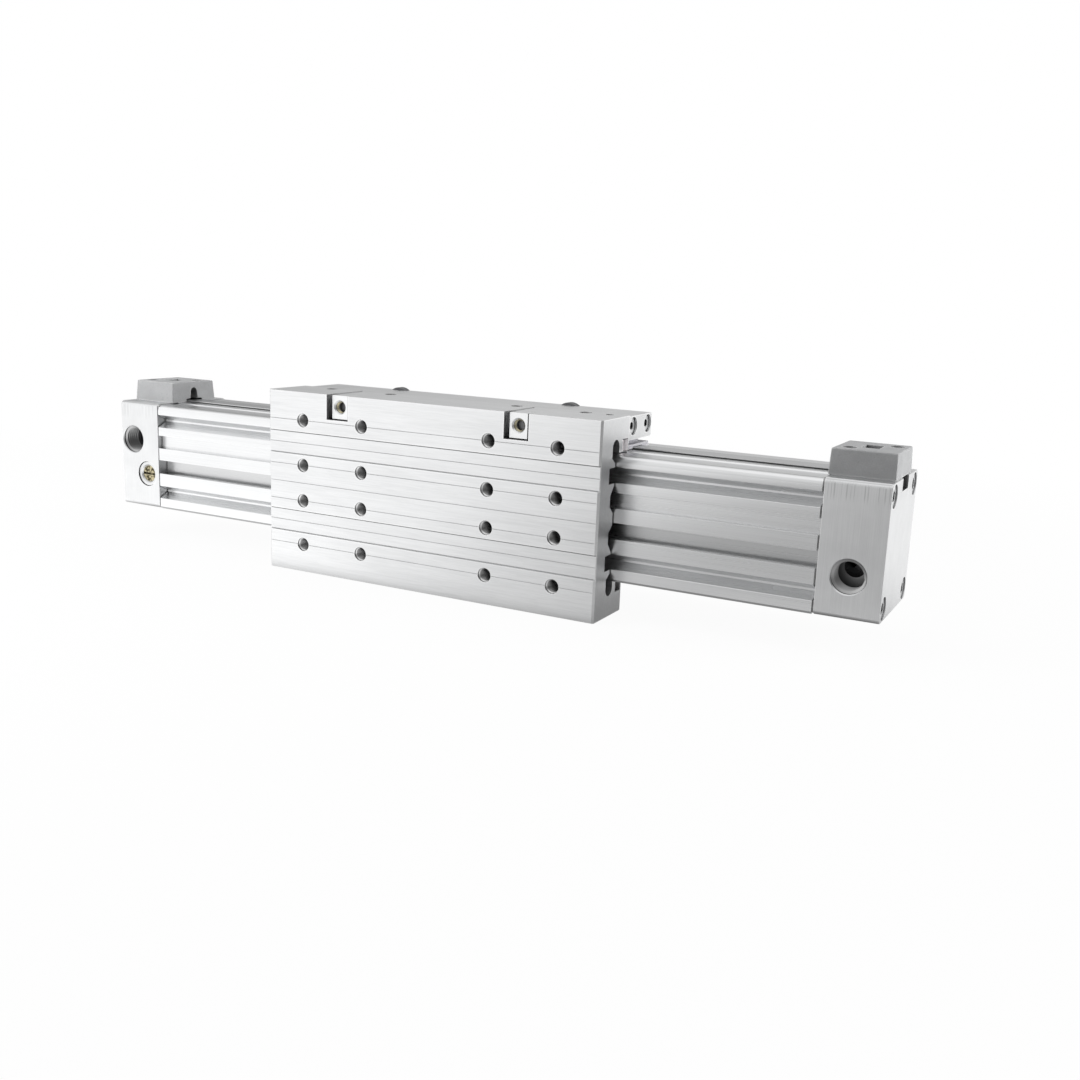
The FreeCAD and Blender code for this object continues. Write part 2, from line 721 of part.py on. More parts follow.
def cushion_screw(name, side):
    """Bushing in the cap's side and the needle that turns in it."""
    x = f"{side} * ({CAP_END} - needle_from_end)"
    z = NEEDLE

    def depth(text):
        return f"{side} * ({HALF_DEPTH} - ({text}))"

    sunk = "needle_sink_depth - bushing_run"
    sleeve = rod("y", x, depth(f"{sunk} + bushing_run / 2"), z, "bushing_dia", "bushing_run")
    hole = rod("y", x, depth(f"{sunk} + bushing_run / 2"), z, "bushing_bore", "bushing_run")
    wide = "bushing_bore + 2 * lead_chamfer"
    ends = (wide, "bushing_bore") if side < 0 else ("bushing_bore", wide)
    lead = cone("y", x, depth(f"{sunk} + lead_chamfer / 2"), z, *ends, "lead_chamfer")
    node(f"needle_bushing_{name}", cut(sleeve, [hole, lead]))

    head_start = f"{sunk} + needle_set_back"
    head = rod("y", x, depth(f"{head_start} + needle_head_run / 2"), z,
               "bushing_bore - 2 * needle_play", "needle_head_run")
    shank_from = f"{head_start} + needle_head_run - needle_overlap"
    shank = rod("y", x, depth(f"{shank_from} + needle_shank_run / 2"), z, "needle_stem_dia",
                "needle_shank_run")
    point, root = "needle_tip_dia / 2", "needle_tip_dia"
    tip_ends = (point, root) if side > 0 else (root, point)
    tip_from = f"{shank_from} + needle_shank_run - needle_overlap"
    tip = cone("y", x, depth(f"{tip_from} + needle_tip_run / 2"), z, *tip_ends, "needle_tip_run")
    slot = block(x, depth(f"{head_start} + needle_slot_depth / 2"), z,
                 "bushing_bore", "needle_slot_depth", "needle_slot_width")
    neck = f"{head_start} + needle_head_run / 2 + needle_neck_offset"
    outer = rod("y", x, depth(neck), z, "bushing_bore", "needle_neck_run")
    inner = rod("y", x, depth(neck), z, "bushing_bore - 2 * needle_neck_depth", "needle_neck_run")
    node(f"cushion_needle_{name}", cut(fuse([head, shank, tip]), [slot, cut(outer, [inner])]))
    node(f"needle_o_ring_{name}", ring("y", x, depth(neck), z,
                                       "bushing_bore - needle_neck_run - 2 * needle_play", "needle_ring_dia"))


def port_plug(name, side):
    """Socket plug in the port on the cap's far side."""
    from_end, height = (("port_high_from_end", PORT_HIGH) if side > 0
                        else ("port_low_from_end", PORT_LOW))
    x = f"{side} * ({CAP_END} - {from_end})"
    sunk = "port_chamfer + plug_set_back"
    y = f"{HALF_DEPTH} - ({sunk}) - plug_run / 2"
    body = rod("y", x, y, height, "port_dia - 2 * band_play", "plug_run")
    socket = hexagon("y", x, f"{HALF_DEPTH} - ({sunk}) - plug_socket_depth / 2", height,
                     "plug_key", "plug_socket_depth")
    node(f"port_plug_{name}", cut(body, [socket]))


def band_cover(name, side):
    """Tapered die-cast cover over the band's end, with a window, an arch and two screws."""
    def across(text):
        return f"{side} * ({text})"

    run = "cap_run + cover_overhang - cover_set_back"
    middle = across(f"{CAP_END} - cover_set_back - ({run}) / 2")
    shell = upright_taper(middle, "0", "body_height", run, "cover_width",
                          f"{run} - cover_draft", "cover_width - 2 * cover_draft", "cover_height")
    inner_face = f"{CAP_FACE} - cover_overhang"
    to_middle = f"({run}) / 2"
    tools = [
        block(middle, "0", "body_height + cover_height / 2", "cover_window_run", "cover_window_width",
              "cover_height"),
        block(across(f"{inner_face} + ({to_middle}) / 2"), "0",
              "body_height + (cover_arch_height - cover_arch_width / 2) / 2", to_middle,
              "cover_arch_width", "cover_arch_height - cover_arch_width / 2"),
        rod("x", across(f"{inner_face} + ({to_middle}) / 2"), "0",
            "body_height + cover_arch_height - cover_arch_width / 2", "cover_arch_width", to_middle),
        block(across(f"{inner_face} + ({run} - cover_gap_end) / 2"), "0",
              "body_height + cover_gap_height / 2", f"{run} - cover_gap_end", "band_channel_width",
              "cover_gap_height"),
    ]
    screws = []
    seat = "body_height + cover_height - cover_screw_sink"
    shank = "cover_height - cover_screw_sink + cover_screw_grip - screw_end_play"
    sink_dia = "cover_head_dia + 2 * band_play"
    for sign, inboard in ((1, "cover_screw_inboard_x"), (-1, "cover_screw_outboard_x")):
        x = across(f"{CAP_FACE} + cap_run / 2 - {sign} * {inboard}")
        y = across(f"-{sign} * cover_screw_y")
        tools.append(rod("z", x, y, "body_height + cover_height / 2", "cover_hole_dia", "cover_height"))
        tools.append(rod("z", x, y, f"{seat} + cover_screw_sink / 2", sink_dia, "cover_screw_sink"))
        screws.append(socket_screw("cover", "z", 1, x, y, seat, shank))
    node(f"band_cover_{name}", cut(shell, tools))
    node(f"cover_screws_{name}", group(screws))


def band_clamp(name, side):
    """Block in the cap's channel that grips both bands, and its set screw."""
    x = f"{side} * ({CAP_END} - cap_run / 2)"
    base = "body_height - band_channel_depth"
    grip = block(x, "0", f"{base} + clamp_lift + clamp_height / 2", "clamp_run", "clamp_width",
                 "clamp_height")
    thread = rod("z", x, "0", f"{base} + clamp_height", "clamp_screw_dia", "2 * clamp_height")
    node(f"band_clamp_{name}", cut(grip, [thread]))
    low = f"{base} + clamp_lift + band_play"
    screw = rod("z", x, "0", f"{low} + clamp_screw_run / 2", "clamp_screw_dia - band_play",
                "clamp_screw_run")
    socket = hexagon("z", x, "0", f"{low} + clamp_screw_run - clamp_socket_depth / 2", "clamp_screw_key",
                     "clamp_socket_depth")
    node(f"clamp_screw_{name}", cut(screw, [socket]))


def bands():
    """Outer and inner steel bands; both leave the slot where the bridge passes through it."""
    half = f"{CAP_END} - cap_run / 2 - clamp_run / 2 - clamp_gap"
    low, thick = "body_height", "outer_band_thick"
    strip = outline("XZ_Plane", [
        (f"-({half})", low), (f"-{BAND_RAMP}", low), (f"-{BAND_FLAT}", f"{low} + {BAND_RISE}"),
        (f"{BAND_FLAT}", f"{low} + {BAND_RISE}"), (f"{BAND_RAMP}", low), (half, low),
        (half, f"{low} + {thick}"), (f"{BAND_RAMP} - band_play", f"{low} + {thick}"),
        (f"{BAND_FLAT} - band_play", f"{low} + {thick} + {BAND_RISE}"),
        (f"-{BAND_FLAT} + band_play", f"{low} + {thick} + {BAND_RISE}"),
        (f"-{BAND_RAMP} + band_play", f"{low} + {thick}"), (f"-({half})", f"{low} + {thick}"),
    ], "outer_band_width")
    ribs = []
    for side in (-1, 1):
        ribs.append(block(f"{side} * ({BAND_RAMP} + {BARREL_END}) / 2", "0", f"{low} - outer_band_rib / 2",
                          f"{BARREL_END} - {BAND_RAMP}", "outer_band_rib_width", "outer_band_rib"))
    node("outer_band", fuse([strip] + ribs))

    end = BARREL_END
    low, thick = f"{BORE_TOP_SEAT} - inner_band_thick - band_play", "inner_band_thick"
    sunk = f"{low} - inner_drop"
    strip = outline("XZ_Plane", [
        (f"-({end})", low), (f"-{INNER_RAMP}", low), (f"-{INNER_FLAT}", sunk),
        (f"{INNER_FLAT}", sunk), (f"{INNER_RAMP}", low), (end, low),
        (end, f"{low} + {thick}"), (f"{INNER_RAMP} - 2 * band_play", f"{low} + {thick}"),
        (f"{INNER_FLAT} - 2 * band_play", f"{sunk} + {thick}"),
        (f"-{INNER_FLAT} + 2 * band_play", f"{sunk} + {thick}"),
        (f"-{INNER_RAMP} + 2 * band_play", f"{low} + {thick}"), (f"-({end})", f"{low} + {thick}"),
    ], "inner_band_width")
    node("inner_band", strip)


def scribe(kind, sunk, level):
    """V line along the plate's front, cut from a face that lies this deep."""
    width = f"{kind}_width"
    return wedge(width, f"{width} / 10", f"{kind}_depth", "plate_run", "0", f"-{PLATE_FRONT} + {sunk}", level)


def carriage_plate():
    """C-shaped guide plate: two hooks over the barrel, shoe slots, strip slots, threaded holes."""
    mid = MID_HEIGHT
    land = f"-({HALF_DEPTH} + plate_gap)"
    relief = f"-({HALF_DEPTH} + plate_gap + plate_relief)"
    slot = f"-({HALF_DEPTH} + plate_gap + shoe_slot_depth)"
    groove = f"-({HOOK_INNER} + hook_groove_dia)"
    foot = "body_height / 2 + foot_gap"
    shoe = f"{GUIDE_SPACING} / 2"
    upper = [
        (f"-{PLATE_FRONT}", f"{PLATE_HEIGHT} / 2"),
        (f"-{PLATE_REAR}", f"{PLATE_HEIGHT} / 2"),
        (f"-{PLATE_REAR}", foot),
        (f"-{STRIP_REAR}", foot),
        (f"-{STRIP_REAR}", f"{foot} + strip_slot_depth"),
        (f"-{STRIP_FRONT}", f"{foot} + strip_slot_depth"),
        (f"-{STRIP_FRONT}", foot),
        (f"-{HOOK_INNER}", foot),
        (f"-{HOOK_INNER}", f"{foot} + hook_groove_height"),
        (groove, f"{foot} + hook_groove_height"),
        (groove, f"{foot} - wall_drop"),
        (land, f"{foot} - land_drop"),
        (land, f"{shoe} + shoe_slot_height / 2"),
        (slot, f"{shoe} + shoe_slot_height / 2"),
        (slot, f"{shoe} - shoe_slot_height / 2"),
        (land, f"{shoe} - shoe_slot_height / 2"),
        (land, f"{shoe} - shoe_slot_height / 2 - land_width"),
        (relief, f"{shoe} - shoe_slot_height / 2 - land_width - relief_slope"),
        (relief, "relief_end"),
        (land, "middle_land"),
    ]
    points = [(y, f"{mid} + ({z})") for y, z in upper]
    points += [(y, f"{mid} - ({z})") for y, z in reversed(upper)]
    slab = outline("YZ_Plane", points, "plate_run")
    tools = []
    for sign in (-1, 1):
        round_z = f"{mid} + {sign} * ({foot} + hook_groove_height)"
        tools.append(rod("x", "0", f"-{HOOK_INNER} - hook_groove_dia / 2", round_z, "hook_groove_dia",
                         "plate_run"))
        height = f"{mid} + {sign} * {GUIDE_SPACING} / 2"
        tools.append(block("0", f"-{PLATE_FRONT}", height, "plate_run", "2 * front_band_depth",
                           "front_band_height"))
    # scribed lines, and the tool's deeper line along both ledges of each band
    for sign in (-1, 1):
        band_middle = f"{mid} + {sign} * {GUIDE_SPACING} / 2"
        for level, sunk in ((band_middle, "front_band_depth"), (f"{mid} + {sign} * hole_inner_z", "0"),
                            (f"{mid} + {sign} * hole_outer_z", "0")):
            tools.append(scribe("scribe", sunk, level))
        for edge in (-1, 1):
            ledge = f"{band_middle} + {edge} * (front_band_height - ledge_line_width) / 2"
            tools.append(scribe("ledge_line", "front_band_depth", ledge))
    tools.append(scribe("scribe", "0", mid))
    for end in (-1, 1):
        bevel = block("0", "0", "0", "2 * edge_chamfer", "2 * edge_chamfer", PLATE_HEIGHT)
        bevel.Placement.Rotation = FreeCAD.Rotation(FreeCAD.Vector(0, 0, 1), 45)
        place(bevel, f"{end} * plate_run / 2", f"-{PLATE_FRONT} - sqrt(2) * edge_chamfer", PLATE_BASE)
        tools.append(bevel)
    # threaded holes
    wall = f"({PLATE_FRONT} - {HALF_DEPTH} - plate_gap)"
    mouth_dia = "plate_hole_dia + 2 * plate_hole_chamfer"
    for x in ("hole_inner_x", "-hole_inner_x", "hole_outer_x", "-hole_outer_x"):
        for z in ("hole_inner_z", "-hole_inner_z", "hole_outer_z", "-hole_outer_z"):
            height = f"{mid} + {z}"
            tools.append(rod("y", x, f"-{PLATE_FRONT} + {wall} / 2", height, "plate_hole_dia", wall))
            tools.append(cone("y", x, f"-{PLATE_FRONT} + plate_hole_chamfer / 2", height, mouth_dia,
                              "plate_hole_dia", "plate_hole_chamfer"))
    # nut pockets, set screws and lubrication hole
    pocket_deep = "nut_set_back + nut_thick + nut_play"
    pocket_side = "nut_width + 2 * nut_side_play"
    for side in (-1, 1):
        x = f"{side} * nut_x"
        tall = f"{PLATE_TOP} - {YOKE_MIDDLE} + nut_height / 2 + nut_play"
        tools.append(block(x, f"-{PLATE_FRONT} + ({pocket_deep}) / 2", f"{PLATE_TOP} - ({tall}) / 2",
                           pocket_side, pocket_deep, tall))
        tools.append(block(x, f"-({PLATE_FRONT} + {PLATE_REAR}) / 2", PLATE_TOP, pocket_side,
                           f"{PLATE_FRONT} - {PLATE_REAR}", "2 * nut_track_depth"))
        tools.append(rod("y", x, f"-({PLATE_FRONT} + {PLATE_REAR}) / 2", YOKE_MIDDLE,
                         "bolt_dia + 2 * hole_play", f"{PLATE_FRONT} - {PLATE_REAR}"))
    for x in ("guide_screw_inner_x", "-guide_screw_inner_x", "guide_screw_outer_x", "-guide_screw_outer_x"):
        tools.append(rod("z", x, STRIP_MIDDLE, f"({PLATE_TOP} + {STRIP_ROOF}) / 2",
                         "guide_screw_dia + 2 * band_play", f"{PLATE_TOP} - {STRIP_ROOF}"))
    tools.append(rod("z", "lube_hole_x", STRIP_MIDDLE, f"{PLATE_TOP} - lube_hole_depth / 2",
                     "lube_hole_dia", "lube_hole_depth"))
    node("carriage_plate", cut(slab, tools))


def guide_shoe(name, level, end):
    """V-nosed sliding shoe in one of the plate's slots."""
    slope = "(groove_mouth - groove_floor) / 2 / groove_depth"
    back = f"-({HALF_DEPTH} + plate_gap + shoe_slot_depth - shoe_play)"
    neck = f"-({HALF_DEPTH} + plate_gap / 2)"
    mouth = f"-({HALF_DEPTH})"
    nose = f"-({HALF_DEPTH} - groove_depth + shoe_tip)"
    wide = "shoe_slot_height / 2 - shoe_play"
    flank = "groove_mouth / 2 - shoe_play"
    tip = f"{flank} - (groove_depth - shoe_tip) * {slope}"
    centre = f"{MID_HEIGHT} + {level} * {GUIDE_SPACING} / 2"
    points = [
        (back, f"{centre} - ({wide})"),
        (neck, f"{centre} - ({wide})"),
        (mouth, f"{centre} - ({flank})"),
        (nose, f"{centre} - ({tip})"),
        (nose, f"{centre} + {tip}"),
        (mouth, f"{centre} + {flank}"),
        (neck, f"{centre} + {wide}"),
        (back, f"{centre} + {wide}"),
    ]
    shoe = outline("YZ_Plane", points, "shoe_run")
    place(shoe, f"{end} * (shoe_inner_x + shoe_run / 2)", "0", "0")
    node(name, shoe)


def guide_strips():
    """Flat sliding strips in the hooks, above and below the barrel, and the set screws on the upper one."""
    y = STRIP_MIDDLE
    wide = "strip_slot_width - 2 * band_play"
    tall = "foot_gap + strip_slot_depth - 2 * strip_play"
    run = "plate_run - 2 * strip_inset"
    pressed = f"{tall} - strip_top_gap"
    upper = block("0", y, f"body_height + strip_play + ({pressed}) / 2", run, wide, pressed)
    lower = block("0", y, f"-strip_play - ({tall}) / 2", run, wide, tall)
    node("guide_strip_upper", upper)
    node("guide_strip_lower", lower)
    screws = []
    low = f"{STRIP_ROOF} - strip_play - strip_top_gap"
    high = f"{PLATE_TOP} - set_screw_sink"
    for x in ("guide_screw_inner_x", "-guide_screw_inner_x", "guide_screw_outer_x", "-guide_screw_outer_x"):
        pin = rod("z", x, y, f"({low} + {high}) / 2", "guide_screw_dia", f"{high} - ({low})")
        socket = hexagon("z", x, y, f"{high} - guide_socket_depth / 2", "guide_screw_key",
                         "guide_socket_depth")
        screws.append(cut(pin, [socket]))
    node("guide_screws", group(screws))


def yoke():
    """Bar over the slot that carries the bridge and drives the plate."""
    bar = block("0", "0", YOKE_MIDDLE, "2 * yoke_half", f"2 * {YOKE_HALF_WIDTH}", "yoke_thick")
    tools = [block("0", "0", f"{YOKE_BASE} + yoke_channel_depth / 2", "2 * yoke_half", "yoke_channel_width",
                   "yoke_channel_depth")]
    for side in (-1, 1):
        tools.append(rod("y", f"{side} * nut_x", "0", YOKE_MIDDLE, "bolt_dia + 2 * hole_play",
                         f"2 * {YOKE_HALF_WIDTH}"))
        tools.append(rod("y", f"{side} * nut_x", f"{YOKE_HALF_WIDTH} - bolt_sink / 2", YOKE_MIDDLE,
                         "bolt_head_dia + 2 * hole_play", "bolt_sink"))
        for row in (-1, 1):
            tools.append(rod("x", f"{side} * (yoke_half - yoke_screw_grip / 2)", f"{row} * {YOKE_SCREW_Y}",
                             YOKE_SCREW_Z, "yoke_screw_dia", "yoke_screw_grip"))
            tools.append(rod("z", f"{side} * bridge_screw_x", f"{row} * {BRIDGE_SCREW_Y}",
                             f"{YOKE_BASE} + bridge_screw_grip / 2", "bridge_screw_dia", "bridge_screw_grip"))
    node("yoke", cut(bar, tools))


def yoke_end(name, side):
    """End block with its two screws and the wiper below it."""
    inner, outer = "yoke_half + yoke_joint", "yoke_end_half"
    middle = f"{side} * ({inner} + {outer}) / 2"
    run = f"{outer} - ({inner})"
    high = YOKE_SCREW_Z
    slab = block(middle, "0", YOKE_MIDDLE, run, f"2 * {YOKE_HALF_WIDTH}", "yoke_thick")
    tools = []
    screws = []
    seat = f"{side} * (yoke_end_half - yoke_screw_sink)"
    shank = "yoke_end_half - yoke_screw_sink - yoke_half + yoke_screw_grip - screw_end_play"
    for row in (-1, 1):
        y = f"{row} * {YOKE_SCREW_Y}"
        tools.append(rod("x", middle, y, high, "yoke_screw_dia + 2 * hole_play", run))
        tools.append(rod("x", f"{side} * (yoke_end_half - yoke_screw_sink / 2)", y, high,
                         "yoke_screw_sink_dia", "yoke_screw_sink"))
        screws.append(socket_screw("yoke", "x", side, seat, y, high, shank))
    node(f"yoke_end_{name}", cut(slab, tools))
    node(f"yoke_end_screws_{name}", group(screws))
    base = "body_height + 2 * strip_play"
    x = f"{side} * (yoke_end_half - wiper_set_back - wiper_run / 2)"
    lip = block(x, "0", f"{base} + wiper_lip / 2", "wiper_run", WIPER_WIDTH, "wiper_lip")
    neck = block(x, "0", f"({base} + {YOKE_BASE}) / 2", "wiper_run - 2 * wiper_neck_inset",
                 "wiper_neck_width", f"{YOKE_BASE} - ({base})")
    notch = block(x, "0", "body_height", "wiper_run", "outer_band_width + 4 * band_play",
                  "2 * outer_band_thick + 4 * band_play")
    node(f"wiper_{name}", cut(fuse([lip, neck]), [notch]))


def clamp_hardware(name, side):
    """Slot nut in the plate's pocket and the low-head bolt that pulls the yoke against the plate."""
    x = f"{side} * nut_x"
    face = f"-{PLATE_FRONT} + nut_set_back"
    nut = block(x, f"{face} + nut_thick / 2", YOKE_MIDDLE, "nut_width", "nut_thick", "nut_height")
    thread = rod("y", x, f"{face} + nut_thick / 2", YOKE_MIDDLE, "bolt_dia", "nut_thick")
    lead = cone("y", x, f"{face} + lead_chamfer / 2", YOKE_MIDDLE, "bolt_dia + 2 * lead_chamfer", "bolt_dia",
                "lead_chamfer")
    node(f"slot_nut_{name}", cut(nut, [thread, lead]))
    seat = f"({YOKE_HALF_WIDTH} - bolt_sink)"
    tip = f"{face} + nut_thick / 2"
    shank = rod("y", x, f"({seat} + {tip}) / 2", YOKE_MIDDLE, "bolt_dia", f"{seat} - ({tip})")
    straight = "bolt_head_run - bolt_head_rim"
    head = rod("y", x, f"{seat} + ({straight}) / 2", YOKE_MIDDLE, "bolt_head_dia", straight)
    crown = cone("y", x, f"{seat} + {straight} + bolt_head_rim / 2", YOKE_MIDDLE, "bolt_head_dia",
                 "bolt_head_dia - 2 * bolt_head_rim", "bolt_head_rim")
    socket = hexagon("y", x, f"{seat} + bolt_head_run - bolt_socket_depth / 2", YOKE_MIDDLE, "bolt_key",
                     "bolt_socket_depth")
    node(f"clamp_bolt_{name}", cut(fuse([shank, head, crown]), [socket]))


def piston_bridge():
    """Carrier in the bore, tongue through the slot and flange under the yoke, in one piece."""
    carrier = rod("x", "0", "0", BORE, CARRIER_DIA, "2 * carrier_half")
    floor = f"{BORE} + {CHANNEL_FLOOR}"
    roof = f"{BORE} + {CHANNEL_ROOF}"
    top = f"{BORE} + bore_dia / 2 + cut_margin"
    channel = block("0", "0", f"({floor} + {roof}) / 2", "2 * carrier_half", "carrier_channel_width",
                    "channel_height")
    tools = [channel]
    for side in (-1, 1):
        x = f"{side} * (carrier_open_half + carrier_half) / 2"
        tools.append(block(x, "0", f"({floor} + {top}) / 2", "carrier_half - carrier_open_half",
                           "carrier_channel_width", f"{top} - ({floor})"))
    bored = rod("x", "0", "0", BORE, "piston_screw_dia", "2 * carrier_half")
    body = cut(carrier, tools + [bored])
    flange_base = f"{YOKE_BASE} - flange_thick"
    tongue = block("0", "0", f"({roof} + {flange_base} + cut_margin) / 2", "2 * tongue_half", "tongue_width",
                   f"{flange_base} - ({roof}) + cut_margin")
    flange = block("0", "0", f"{flange_base} + flange_thick / 2", "2 * flange_half", FLANGE_WIDTH,
                   "flange_thick")
    holes = []
    screws = []
    for side in (-1, 1):
        for row in (-1, 1):
            x, y = f"{side} * bridge_screw_x", f"{row} * {BRIDGE_SCREW_Y}"
            sunk = f"{flange_base} + bridge_head_run / 2"
            holes.append(rod("z", x, y, f"{flange_base} + flange_thick / 2",
                             "bridge_screw_dia + 2 * hole_play", "flange_thick"))
            holes.append(cone("z", x, y, sunk, "bridge_head_dia + 2 * band_play",
                              "bridge_screw_dia + 4 * band_play", "bridge_head_run"))
            head = cone("z", x, y, sunk, "bridge_head_dia", "bridge_screw_dia", "bridge_head_run")
            shank_low = f"{flange_base} + bridge_head_run - needle_overlap"
            shank_run = "flange_thick + bridge_screw_grip - bridge_head_run - screw_end_play"
            shank = rod("z", x, y, f"{shank_low} + ({shank_run}) / 2", "bridge_screw_dia", shank_run)
            socket = hexagon("z", x, y, f"{flange_base} + bridge_socket_depth / 2", "bridge_key",
                             "bridge_socket_depth")
            screws.append(cut(fuse([head, shank]), [socket]))
    node("piston_bridge", cut(fuse([body, tongue, flange]), holes))
    node("bridge_screws", group(screws))


def piston(name, side):
    """Piston head with its spear, seal, wear ring, magnet and the screw that holds it to the carrier."""
    def across(text):
        return f"{side} * (carrier_half + ({text}))"

    head = rod("x", across("piston_run / 2"), "0", BORE, PISTON_DIA, "piston_run")
    spear = rod("x", across("piston_run + spear_run / 2"), "0", BORE, "spear_dia", "spear_run")
    seal_x = across("piston_run - seal_from_face - seal_run / 2")
    wear_x = across("piston_run - wear_from_face - wear_run / 2")
    tools = []
    for x, run, deep in ((seal_x, "seal_run", "seal_groove"), (wear_x, "wear_run", "wear_groove")):
        outer = rod("x", x, "0", BORE, "bore_dia", run)
        inner = rod("x", x, "0", BORE, f"{PISTON_DIA} - 2 * {deep}", run)
        tools.append(cut(outer, [inner]))
    magnet_x = across("magnet_run / 2")
    tools.append(rod("x", magnet_x, "0", BORE, "magnet_dia + 2 * band_play", "magnet_run"))
    whole = "piston_run + spear_run"
    tools.append(rod("x", across(f"({whole}) / 2"), "0", BORE, "piston_screw_dia + 4 * band_play", whole))
    tools.append(rod("x", across("piston_run + (spear_run - piston_head_sink) / 2"), "0", BORE,
                     "piston_head_dia + 4 * band_play", "spear_run + piston_head_sink"))
    node(f"piston_{name}", cut(fuse([head, spear]), tools))

    seal = rod("x", seal_x, "0", BORE, SEAL_DIA, "seal_run - 2 * band_play")
    seal_hole = rod("x", seal_x, "0", BORE, f"{PISTON_DIA} - 2 * seal_groove", "seal_run")
    node(f"piston_seal_{name}", cut(seal, [seal_hole]))
    band = rod("x", wear_x, "0", BORE, SEAL_DIA, "wear_run - 2 * band_play")
    band_hole = rod("x", wear_x, "0", BORE, f"{PISTON_DIA} - 2 * wear_groove", "wear_run")
    node(f"wear_ring_{name}", cut(band, [band_hole]))
    magnet = rod("x", magnet_x, "0", BORE, "magnet_dia", "magnet_run - 2 * band_play")
    magnet_hole = rod("x", magnet_x, "0", BORE, "magnet_hole_dia", "magnet_run")
    node(f"magnet_{name}", cut(magnet, [magnet_hole]))
    seat = across("piston_run - piston_head_sink")
    shank = "piston_run - piston_head_sink + piston_screw_grip"
    return socket_screw("piston", "x", side, seat, "0", BORE, shank)


def build():
    barrel()
    piston_screws = []
    for name, side in SIDES.items():
        end_cap(f"end_cap_{name}", side)
        cap_seals(name, side)
        cap_screws(name, side)
        cushion_seal(name, side)
        cushion_screw(name, side)
        port_plug(name, side)
        band_cover(name, side)
        band_clamp(name, side)
        yoke_end(name, side)
        clamp_hardware(name, side)
        piston_screws.append(piston(name, side))
        for level_name, level in (("upper", 1), ("lower", -1)):
            guide_shoe(f"guide_shoe_{level_name}_{name}", level, side)
    node("piston_screws", group(piston_screws))
    bands()
    carriage_plate()
    guide_strips()
    yoke()
    piston_bridge()


def check_and_export():
    doc.recompute()
    for obj in doc.Objects:
        if "Invalid" in obj.State or "Error" in obj.State:
            raise RuntimeError(f"{obj.Label} failed: {obj.State}")
    os.makedirs("parts", exist_ok=True)
    for name, solid in NODES.items():
        if solid.Shape.isNull() or not solid.Shape.isValid():
            raise RuntimeError(f"{name} has no valid shape")
    for name, solid in NODES.items():
        solid.Shape.exportStep(f"parts/{name}.step")
        print(name, len(solid.Shape.Solids), round(solid.Shape.Volume, 1))


build()
check_and_export()
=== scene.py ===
import math

import bmesh
import bpy
from mathutils import Matrix, Vector


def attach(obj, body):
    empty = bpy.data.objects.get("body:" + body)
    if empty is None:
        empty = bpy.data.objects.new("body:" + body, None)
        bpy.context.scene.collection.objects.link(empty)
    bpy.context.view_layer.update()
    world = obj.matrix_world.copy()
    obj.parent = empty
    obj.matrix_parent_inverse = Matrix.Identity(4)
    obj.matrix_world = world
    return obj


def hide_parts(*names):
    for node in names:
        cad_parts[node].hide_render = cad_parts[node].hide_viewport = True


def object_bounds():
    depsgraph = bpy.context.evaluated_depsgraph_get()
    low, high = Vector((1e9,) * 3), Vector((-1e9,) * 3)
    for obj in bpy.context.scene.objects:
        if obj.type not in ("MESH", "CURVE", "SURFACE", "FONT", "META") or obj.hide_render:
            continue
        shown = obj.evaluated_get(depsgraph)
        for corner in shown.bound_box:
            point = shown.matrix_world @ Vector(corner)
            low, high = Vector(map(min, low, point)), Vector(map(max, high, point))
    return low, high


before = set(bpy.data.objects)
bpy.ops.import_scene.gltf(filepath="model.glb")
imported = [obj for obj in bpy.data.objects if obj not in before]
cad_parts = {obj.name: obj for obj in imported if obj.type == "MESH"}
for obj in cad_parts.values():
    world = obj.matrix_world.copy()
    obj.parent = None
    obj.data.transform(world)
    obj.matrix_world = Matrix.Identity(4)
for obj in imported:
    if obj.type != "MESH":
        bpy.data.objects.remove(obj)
cad_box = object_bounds()
MM = 0.001

# Camera
# The photograph looks at the carriage plate from the right and a little above,
# with the cylinder running away to the left.
FOCAL_PIXELS = 1161.8
IMAGE_PIXELS = 1080.0
SENSOR_MM = 36.0
CAMERA_AZIMUTH = math.radians(27.252)
CAMERA_ELEVATION = math.radians(12.247)
CAMERA_ROLL = math.radians(2.311)
CAMERA_OFFSET = Vector((-33.10, -1.895, -528.61)) * MM

back = Vector((math.sin(CAMERA_AZIMUTH) * math.cos(CAMERA_ELEVATION),
               -math.cos(CAMERA_AZIMUTH) * math.cos(CAMERA_ELEVATION),
               math.sin(CAMERA_ELEVATION)))
level_right = Vector((math.cos(CAMERA_AZIMUTH), math.sin(CAMERA_AZIMUTH), 0.0))
level_up = back.cross(level_right)
right = level_right * math.cos(CAMERA_ROLL) + level_up * math.sin(CAMERA_ROLL)
up = level_up * math.cos(CAMERA_ROLL) - level_right * math.sin(CAMERA_ROLL)
centre = -(right * CAMERA_OFFSET.x + up * CAMERA_OFFSET.y + back * CAMERA_OFFSET.z)
bpy.ops.object.camera_add()
camera = bpy.context.object
camera.name = "photo_camera"
camera.data.sensor_width = SENSOR_MM
camera.data.lens = FOCAL_PIXELS * SENSOR_MM / IMAGE_PIXELS
camera.data.clip_start = 0.01
camera.data.clip_end = 50.0
turn = Matrix((right, up, back)).transposed().to_4x4()
camera.matrix_world = Matrix.Translation(centre) @ turn
bpy.context.scene.camera = camera
bpy.context.scene.view_settings.view_transform = "Standard"

# Studio
# A white cyclorama: a pale floor under the plate, a large soft lamp at the front left,
# a wide one overhead and another far to the right.
EDGE_SHARES = (0.12, 0.42)


